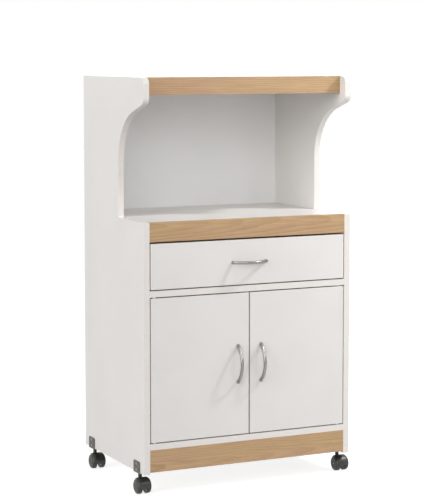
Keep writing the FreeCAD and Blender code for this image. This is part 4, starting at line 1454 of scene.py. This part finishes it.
@dataclass
class Drawer:
    """Drawer front and box, roller runners and rollers.

    The runner screws' places are shares of a cabinet runner's length, from its front.
    """

    finishes: Finishes
    fasteners: Fasteners
    boards: Boards
    handle: BowHandle
    body: str = "drawer"
    runner_screws: Tuple[float, ...] = (0.16, 0.5, 0.9)
    runner_sheet: float = 1.2 * MM
    groove_reach: float = 6 * MM
    groove_height: float = 60 * MM
    edge_margin: float = 2 * MM

    def build(self) -> None:
        """Builds the drawer and its runners."""
        self.front()
        self.box()
        for side in Side:
            self.runners(side)
            for end in End:
                RunnerRoller(self.finishes).build(f"{side.label}_{end.value}_roller")

    def front(self) -> None:
        """The drawer front and its handle."""
        low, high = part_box("drawer_front")

        def bare(centre: Vector, normal: Vector) -> bool:
            """Tells the groove for the drawer bottom.

            Args:
                centre: The middle of a face.
                normal: Its normal, which doesn't matter here.

            Returns:
                Whether the face is bare.
            """
            return (low.z + self.edge_margin < centre.z < low.z + self.groove_height
                    and high.y - self.groove_reach < centre.y < high.y - SKIN
                    and abs(centre.x) < high.x - self.edge_margin)

        self.boards.laminated("drawer_front", self.body, Axis.Y, self.finishes.laminate,
                              self.finishes.band, bare=bare)
        self.handle.build("drawer_handle", self.body, upright=False, inside=high.y)

    def box(self) -> None:
        """The drawer's sides, back and bottom."""
        for node, across in (("drawer_left_side", Axis.X), ("drawer_right_side", Axis.X),
                             ("drawer_back", Axis.Y)):
            self.boards.laminated(node, self.body, across, self.finishes.laminate,
                                  self.finishes.band)
        piece = Piece.of_node("drawer_bottom").dress(self.finishes.bare_back)
        piece.dress(self.finishes.painted_back, lambda centre, normal: normal.z > FACING)
        piece.fit(self.body, Slot.BACK, "drawer_bottom")

    def runners(self, side: Side) -> None:
        """A side's two runners and the screws of the one on the side panel.

        Args:
            side: The side of the stand.
        """
        for part in ("cabinet", "drawer"):
            self.finishes.dress_node(f"{side.label}_{part}_runner", self.finishes.coated)
        low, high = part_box(f"{side.label}_cabinet_runner")
        web = high.x - self.runner_sheet if side is Side.RIGHT else low.x + self.runner_sheet
        towards = Towards.LEFT if side is Side.RIGHT else Towards.RIGHT
        for count, share in enumerate(self.runner_screws, start=1):
            place = (web, low.y + share * (high.y - low.y), (low.z + high.z) / 2)
            self.fasteners.put(Fastener.RUNNER_SCREW, f"{side.label}_runner_screw_{count}",
                               "carcass", Slot.COATED, towards, place)


# ---- doors ----------------------------------------------------------------------------------


@dataclass
class Catch:
    """The double magnetic catch: a moulded body with a magnet between two plates a door.

    Heights are from the body's foot and depths from the front of the plates, which stand
    proud of the body.
    """

    finishes: Finishes
    body: str = "carcass"
    proud: float = 0.3 * MM
    ease: float = 1.2 * MM
    pocket_half: float = 8 * MM
    pocket_depth: float = 4 * MM
    pocket_foot: float = 2.4 * MM
    pocket_head: float = 8.6 * MM
    insert_half: float = 7.8 * MM
    insert_depth: float = 3.9 * MM
    insert_ease: float = 0.2 * MM
    plate_foot: float = 2.5 * MM
    magnet_foot: float = 3.9 * MM
    magnet_head: float = 7.1 * MM
    plate_head: float = 8.5 * MM
    magnet_front: float = 0.5 * MM

    def build(self) -> None:
        """Builds the body with its two pockets, and what sits in them."""
        low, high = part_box("door_catch")
        body = Piece.block("door_catch_body", low + Vector((0, self.proud, 0)), high)
        body.ease(self.ease, segments=3)
        for side in Side:
            middle = side.value * high.x / 2
            body.combine(Join.CUT, Piece.block(
                "pocket",
                (middle - self.pocket_half, low.y - CLEAR, low.z + self.pocket_foot),
                (middle + self.pocket_half, low.y + self.pocket_depth,
                 low.z + self.pocket_head)))
        body.smooth().dress(self.finishes.plastic)
        body.fit(self.body, Slot.PLASTIC, "door_catch")
        for side in Side:
            self.inserts(side, low, side.value * high.x / 2)

    def inserts(self, side: Side, low: Vector, middle: float) -> None:
        """A door's two pole plates and the magnet between them.

        Args:
            side: The side of the door.
            low: The catch's lowest corner.
            middle: X of the pocket's middle.
        """
        bright, magnet = self.finishes.bright, self.finishes.magnet
        for part, foot, head, front, material in (
                ("lower_plate", self.plate_foot, self.magnet_foot, 0, bright),
                ("magnet", self.magnet_foot, self.magnet_head, self.magnet_front, magnet),
                ("upper_plate", self.magnet_head, self.plate_head, 0, bright)):
            piece = Piece.block(
                f"{side.label}_catch_{part}",
                (middle - self.insert_half, low.y + front, low.z + foot),
                (middle + self.insert_half, low.y + self.insert_depth, low.z + head))
            piece.ease(self.insert_ease).smooth().dress(material)
            piece.fit(self.body, Slot.BRIGHT)


@dataclass
class Doors:
    """Two doors with their handles, pivots and strike plates."""

    finishes: Finishes
    fasteners: Fasteners
    boards: Boards
    handle: BowHandle
    end_margin: float = 1 * MM
    side_margin: float = 2 * MM
    strike_ease: float = 0.4 * MM
    strike_screw_seat: float = 1.35 * MM

    def build(self) -> None:
        """Builds both doors."""
        for side in Side:
            self.door(side)

    def door(self, side: Side) -> None:
        """A door, its handle, pivots and strike plate.

        Args:
            side: The door's side.
        """
        node = f"{side.label}_door"
        low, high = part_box(node)

        def bare(centre: Vector, normal: Vector) -> bool:
            """Tells the walls of the pivots' holes.

            Args:
                centre: The middle of a face.
                normal: Its normal, which doesn't matter here.

            Returns:
                Whether the face is bare.
            """
            return (low.z + self.end_margin < centre.z < high.z - self.end_margin
                    and low.x + self.side_margin < centre.x < high.x - self.side_margin
                    and low.y + self.side_margin < centre.y < high.y - self.side_margin)

        self.boards.laminated(node, node, Axis.Y, self.finishes.laminate, self.finishes.band,
                              bare=bare)
        self.handle.build(f"{side.label}_door_handle", node, upright=True, inside=high.y)
        self.finishes.dress_node(f"{side.label}_door_pivots", self.finishes.bright)
        self.strike_plate(f"{side.label}_strike_plate", node)

    def strike_plate(self, node: str, door: str) -> None:
        """A door's strike plate and its screw.

        Args:
            node: The plate's node.
            door: The body of its door.
        """
        plate = Piece.of_node(node).ease(self.strike_ease).smooth()
        plate.dress(self.finishes.bright).fit(door, Slot.BRIGHT, node)
        low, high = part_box(node)
        middle = (low + high) / 2
        self.fasteners.put(Fastener.STRIKE_SCREW, f"{node}_screw", door, Slot.BRIGHT,
                           Towards.REAR, (middle.x, high.y - self.strike_screw_seat, middle.z))


# ---- casters --------------------------------------------------------------------------------


@dataclass
class CasterWheel:
    """A caster's wheel: round-shouldered tread, domed outer face with a ring and a hub cap.

    Sizes named for a place on a face are radii from the axle. The inner face is dished
    between hub and rim.
    """

    finishes: Finishes
    bore: float
    hub: float = 5.5 * MM
    dish_foot: float = 6.5 * MM
    dish_top: float = 15 * MM
    dish_depth: float = 1.2 * MM
    rim: float = 16 * MM
    dish_round: float = 0.5 * MM
    edge_round: float = 0.4 * MM
    inner_shoulder: float = 1.2 * MM
    outer_shoulder: float = 4.6 * MM
    shoulder_reach: float = 3.5 * MM
    dome_foot: float = 15.3 * MM
    dome_round: float = 9 * MM
    ring_edge: float = 9.6 * MM
    ring_top: float = 9.1 * MM
    ring_foot: float = 7.6 * MM
    ring_depth: float = 0.8 * MM
    ring_edge_round: float = 0.3 * MM
    ring_round: float = 0.25 * MM
    cap: float = 6.8 * MM
    cap_round: float = 0.5 * MM
    tread_slope: float = 0.35
    tread_skin: float = 1 * MM

    def build(self, node: str, side: Side) -> None:
        """Makes the wheel of a node, which rides on the body of that name.

        Args:
            node: The wheel's node.
            side: The side that its outer face looks to.
        """
        low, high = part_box(node)
        middle = (low + high) / 2
        width, radius = high.x - low.x, (high.z - low.z) / 2
        ring_floor = width - self.ring_depth
        profile = rounded([
            (0, self.bore, 0), (0, self.hub, self.edge_round),
            (self.dish_depth, self.dish_foot, self.edge_round),
            (self.dish_depth, self.dish_top, self.dish_round),
            (0, self.rim, self.edge_round), (0, radius, self.inner_shoulder),
            (width - self.shoulder_reach, radius, self.outer_shoulder),
            (width, self.dome_foot, self.dome_round),
            (width, self.ring_edge, self.ring_edge_round),
            (ring_floor, self.ring_top, self.ring_round),
            (ring_floor, self.ring_foot, self.ring_round),
            (width, self.cap, self.cap_round), (width, self.bore, 0)])
        wheel = Piece.turned(f"{node}_rim", profile, steps=72, closed=True)
        towards = Towards.RIGHT if side is Side.RIGHT else Towards.LEFT
        start = low.x if side is Side.RIGHT else high.x
        wheel.smooth().moved(towards.at((start, middle.y, middle.z)))
        wheel.dress(self.finishes.nylon)
        wheel.dress(self.finishes.tread, lambda centre, normal: (
            abs(normal.x) < self.tread_slope
            and (centre - middle).yz.length > radius - self.tread_skin))
        wheel.fit(node, Slot.NYLON, node)


@dataclass
class Casters:
    """Four hooded twin-wheel casters on steel brackets.

    The bright stem shows from stem_drop below the side panel. The hood reaches hood_reach
    degrees round the wheels, and its web goes web_drop below the axle.
    """

    finishes: Finishes
    fasteners: Fasteners
    bracket_ease: float = 0.35 * MM
    stem_drop: float = 2.5 * MM
    hood_wall: float = 1.6 * MM
    hood_edge: float = 0.8 * MM
    hood_crown: float = 4 * MM
    hood_reach: float = 196
    hood_steps: int = 48
    lip_round: float = 0.3 * MM
    edge_round: float = 0.35 * MM
    web: float = 11.8 * MM
    web_foot: float = 10 * MM
    web_drop: float = 8.5 * MM
    web_steps: int = 36
    neck: float = 5 * MM
    neck_round: float = 0.8 * MM
    bore: float = 3.55 * MM
    bore_depth: float = 26 * MM
    axle_bore: float = 2.55 * MM

    def build(self) -> None:
        """Builds the four casters."""
        wheel = CasterWheel(self.finishes, self.axle_bore)
        node = ("caster_screws",)
        for side in Side:
            for end in End:
                corner = f"{end.value}_{side.label}"
                self.bracket(corner, side, node)
                self.hood(corner)
                self.finishes.dress_node(f"{corner}_caster_axle", self.finishes.bright)
                for place, turned in (("outer", side), ("inner", Side(-side.value))):
                    wheel.build(f"{corner}_{place}_wheel", turned)
                node = ()

    def bracket(self, corner: str, side: Side, nodes: Iterable[str]) -> None:
        """The steel angle with its riveted stem, and its two screws.

        Args:
            corner: The caster's corner, as the nodes name it.
            side: The side of the stand.
            nodes: CAD nodes that the first screw stands for.
        """
        node = f"{corner}_caster_bracket"
        low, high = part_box(node)
        middle = (low + high) / 2
        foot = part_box(f"{side.label}_side_panel")[0].z
        piece = Piece.of_node(node).ease(self.bracket_ease).smooth()
        piece.dress(self.finishes.zinc)
        piece.dress(self.finishes.bright,
                    lambda centre, normal: centre.z < foot - self.stem_drop)
        piece.fit("carcass", Slot.ZINC, node)
        face = high.x if side is Side.RIGHT else low.x
        towards = Towards.RIGHT if side is Side.RIGHT else Towards.LEFT
        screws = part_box("caster_screws")
        radius = self.fasteners.bracket_screw[0]
        for name, level in (("lower", screws[0].z + radius), ("upper", screws[1].z - radius)):
            self.fasteners.put(Fastener.BRACKET_SCREW, f"{corner}_{name}_screw", "carcass",
                               Slot.BRIGHT, towards, (face, middle.y, level), *nodes)
            nodes = ()

    def hood(self, corner: str) -> None:
        """The moulded hood over the wheels, with its web and the neck round the stem.

        Args:
            corner: The caster's corner, as the nodes name it.
        """
        node = f"{corner}_caster_hood"
        low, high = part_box(node)
        axle_low, axle_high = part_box(f"{corner}_caster_axle")
        axle = (axle_low + axle_high) / 2
        stem = sum(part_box(f"{corner}_caster_bracket"), Vector()) / 2
        outer = axle.y - low.y
        inner = outer - self.hood_wall
        half = (high.x - low.x) / 2
        shoulder = half - self.hood_crown
        edge = inner + self.hood_edge
        section = rounded([
            (-half, inner, self.lip_round), (half, inner, self.lip_round),
            (half, edge, self.edge_round), (shoulder, outer, self.hood_crown),
            (-shoulder, outer, self.hood_crown), (-half, edge, self.edge_round)])
        shell = Piece.bent(f"{node}_shell", section, self.hood_reach, self.hood_steps)

        middle = (inner + outer) / 2
        turn = math.radians(self.hood_reach / 2)
        arc = [-turn + 2 * turn * count / self.web_steps for count in range(self.web_steps + 1)]
        web_top = [Vector((-self.web / 2, middle * math.sin(angle), middle * math.cos(angle)))
                   for angle in arc]
        web_low = [Vector((-self.web / 2, out, -self.web_drop))
                   for out in (self.web_foot / 2, -self.web_foot / 2)]
        web = Piece.sheet_cut("web", web_top + web_low, Vector((self.web, 0, 0)))

        rise = high.z - axle.z
        behind = stem.y - axle.y
        foot = inner - self.neck
        neck = Piece.turned("neck", rounded([
            (foot, 0, 0), (foot, self.neck, 0), (rise, self.neck, self.neck_round),
            (rise, 0, 0)], closed=False), steps=40).moved(Towards.UP.at((0, behind, 0)))
        top = self.bore_depth + CLEAR
        bore = Piece.turned("bore", [(0, 0), (0, self.bore), (top, self.bore), (top, 0)],
                            steps=32)
        bore.moved(Towards.UP.at((0, behind, rise - self.bore_depth)))
        shaft = Piece.turned("shaft", [(-half, 0), (-half, self.axle_bore),
                                       (half, self.axle_bore), (half, 0)], steps=32)
        shell.combine(Join.ADD, web, neck).combine(Join.CUT, bore, shaft).weld()
        shell.moved(Matrix.Translation(axle)).smooth(angle=32).dress(self.finishes.nylon)
        shell.fit(f"{corner}_caster", Slot.NYLON, node)


# ---- studio ---------------------------------------------------------------------------------


@dataclass
class Lamp:
    """A soft lamp. A white face square to it in the stand's middle shows its level."""

    name: str
    direction: Tuple[float, float, float]
    level: float
    distance: float = 6.0

    def light(self) -> bpy.types.Light:
        """The lamp's own light."""
        raise NotImplementedError

    def build(self, target: Vector) -> None:
        """Adds the lamp.

        Args:
            target: The point that it faces.
        """
        lamp = bpy.data.objects.new(self.name, self.light())
        way = Vector(self.direction).normalized()
        lamp.location = target + way * self.distance
        lamp.rotation_euler = way.to_track_quat("Z", "Y").to_euler()
        bpy.context.scene.collection.objects.link(lamp)
        LOG.info("lamp %s", self.name)


@dataclass
class FarLamp(Lamp):
    """A lamp so far away that it lights everything alike."""

    spread: float = 10.0

    def light(self) -> bpy.types.Light:
        """Makes a sun that fills the spread's angle.

        Returns:
            The sun.
        """
        light = bpy.data.lights.new(self.name, "SUN")
        light.angle = math.radians(self.spread)
        light.energy = math.pi * self.level
        return light


@dataclass
class NearLamp(Lamp):
    """A round lamp near the stand, brighter on the parts that are nearer to it."""

    size: float = 0.3

    def light(self) -> bpy.types.Light:
        """Makes a disk of the lamp's size.

        Returns:
            The disk.
        """
        light = bpy.data.lights.new(self.name, "AREA")
        light.shape = "DISK"
        light.size = self.size
        light.energy = self.level * (math.pi * self.distance) ** 2
        return light


@dataclass
class Studio:
    """Pale floor, white surroundings, soft lamps and the camera."""

    eye: Tuple[float, float, float] = (-2.0714, -4.2630, 1.1381)
    heading: float = 25.90
    tilt: float = 4.6
    lens: float = 128.43
    sensor: float = 36.0
    shift: float = -0.112
    sight: float = 100.0
    floor_size: float = 60.0
    floor_colour: Colour = srgb(196, 196, 196)
    floor_roughness: float = 0.9
    floor_glow: float = 0.78
    ambient: float = 0.20
    backdrop: float = 1.0
    lamps: Tuple[Lamp, ...] = (
        NearLamp("key", (0.64, -0.33, 0.69), level=0.49, distance=2.2, size=0.18),
        NearLamp("glint", (0.42, -0.80, 0.38), level=0.08, distance=2.4, size=0.7),
        NearLamp("high_glint", (0.43, -0.58, 0.68), level=0.06, distance=2.4, size=0.55),
        NearLamp("right_wash", (0.8, -0.5, 0.42), level=0.16, distance=1.6, size=0.6),
        FarLamp("front_fill", (-0.45, -0.88, 0.15), level=0.295, spread=45),
        FarLamp("left_fill", (-0.88, -0.3, 0.3), level=0.36, spread=40),
        NearLamp("left_wash", (-0.85, -0.2, 0.5), level=0.21, distance=3.0, size=2.2),
        FarLamp("rear_fill", (0.25, 0.94, 0.24), level=0.28, spread=60),
    )

    def build(self) -> None:
        """Builds the surroundings."""
        self.floor()
        self.world()
        for lamp in self.lamps:
            lamp.build((CAD_BOX[0] + CAD_BOX[1]) / 2)
        self.camera()
        bpy.context.scene.view_settings.view_transform = "Standard"

    def floor(self) -> None:
        """A pale floor that keeps the stand's shadow."""
        pick()
        bpy.ops.mesh.primitive_plane_add(size=self.floor_size, location=(0, 0, 0))
        floor = Piece("studio_floor", bpy.context.object)
        shader = Shader("pale_floor", self.floor_colour, self.floor_roughness)
        shader.surface.inputs["Specular IOR Level"].default_value = 0
        path = shader.node("ShaderNodeLightPath").outputs
        seen = shader.maths("MAXIMUM", path["Is Camera Ray"], shader.maths(
            "MAXIMUM", path["Is Glossy Ray"], path["Is Transmission Ray"]))
        shader.surface.inputs["Emission Color"].default_value = WHITE
        shader.tree.links.new(shader.maths("MULTIPLY", seen, self.floor_glow),
                              shader.surface.inputs["Emission Strength"])
        floor.dress(shader.material)

    def world(self) -> None:
        """Even white surroundings: plain light on the stand, white behind it and in gloss."""
        world = bpy.data.worlds.new("studio")
        world.use_nodes = True
        bpy.context.scene.world = world
        nodes, links = world.node_tree.nodes, world.node_tree.links
        background = nodes["Background"]
        background.inputs["Color"].default_value = WHITE
        path = nodes.new("ShaderNodeLightPath")
        seen = nodes.new("ShaderNodeMath")
        seen.operation = "MAXIMUM"
        links.new(path.outputs["Is Camera Ray"], seen.inputs[0])
        links.new(path.outputs["Is Glossy Ray"], seen.inputs[1])
        through = nodes.new("ShaderNodeMath")
        through.operation = "MAXIMUM"
        links.new(seen.outputs[0], through.inputs[0])
        links.new(path.outputs["Is Transmission Ray"], through.inputs[1])
        strength = nodes.new("ShaderNodeMapRange")
        links.new(through.outputs[0], strength.inputs["Value"])
        strength.inputs["To Min"].default_value = self.ambient
        strength.inputs["To Max"].default_value = self.backdrop
        links.new(strength.outputs[0], background.inputs["Strength"])

    def camera(self) -> None:
        """The camera, a little higher than the stand and off to its left."""
        camera = bpy.data.cameras.new("camera")
        camera.lens = self.lens
        camera.sensor_width = self.sensor
        camera.shift_y = self.shift
        camera.clip_end = self.sight
        item = bpy.data.objects.new("camera", camera)
        item.location = self.eye
        item.rotation_euler = (math.radians(90 - self.tilt), 0, math.radians(-self.heading))
        bpy.context.scene.collection.objects.link(item)
        bpy.context.scene.camera = item


def main() -> None:
    """Builds the stand round the frame, then the studio."""
    logging.basicConfig(level=logging.INFO, format="%(name)s: %(message)s")
    pick()
    finishes = Finishes()
    fasteners = Fasteners(finishes)
    boards = Boards(finishes)
    handle = BowHandle(finishes, fasteners)
    Carcass(finishes, fasteners, boards).build()
    Drawer(finishes, fasteners, boards, handle).build()
    Doors(finishes, fasteners, boards, handle).build()
    Catch(finishes).build()
    Casters(finishes, fasteners).build()
    fasteners.clear()
    Studio().build()
    pick()


if __name__ == "__main__":
    main()
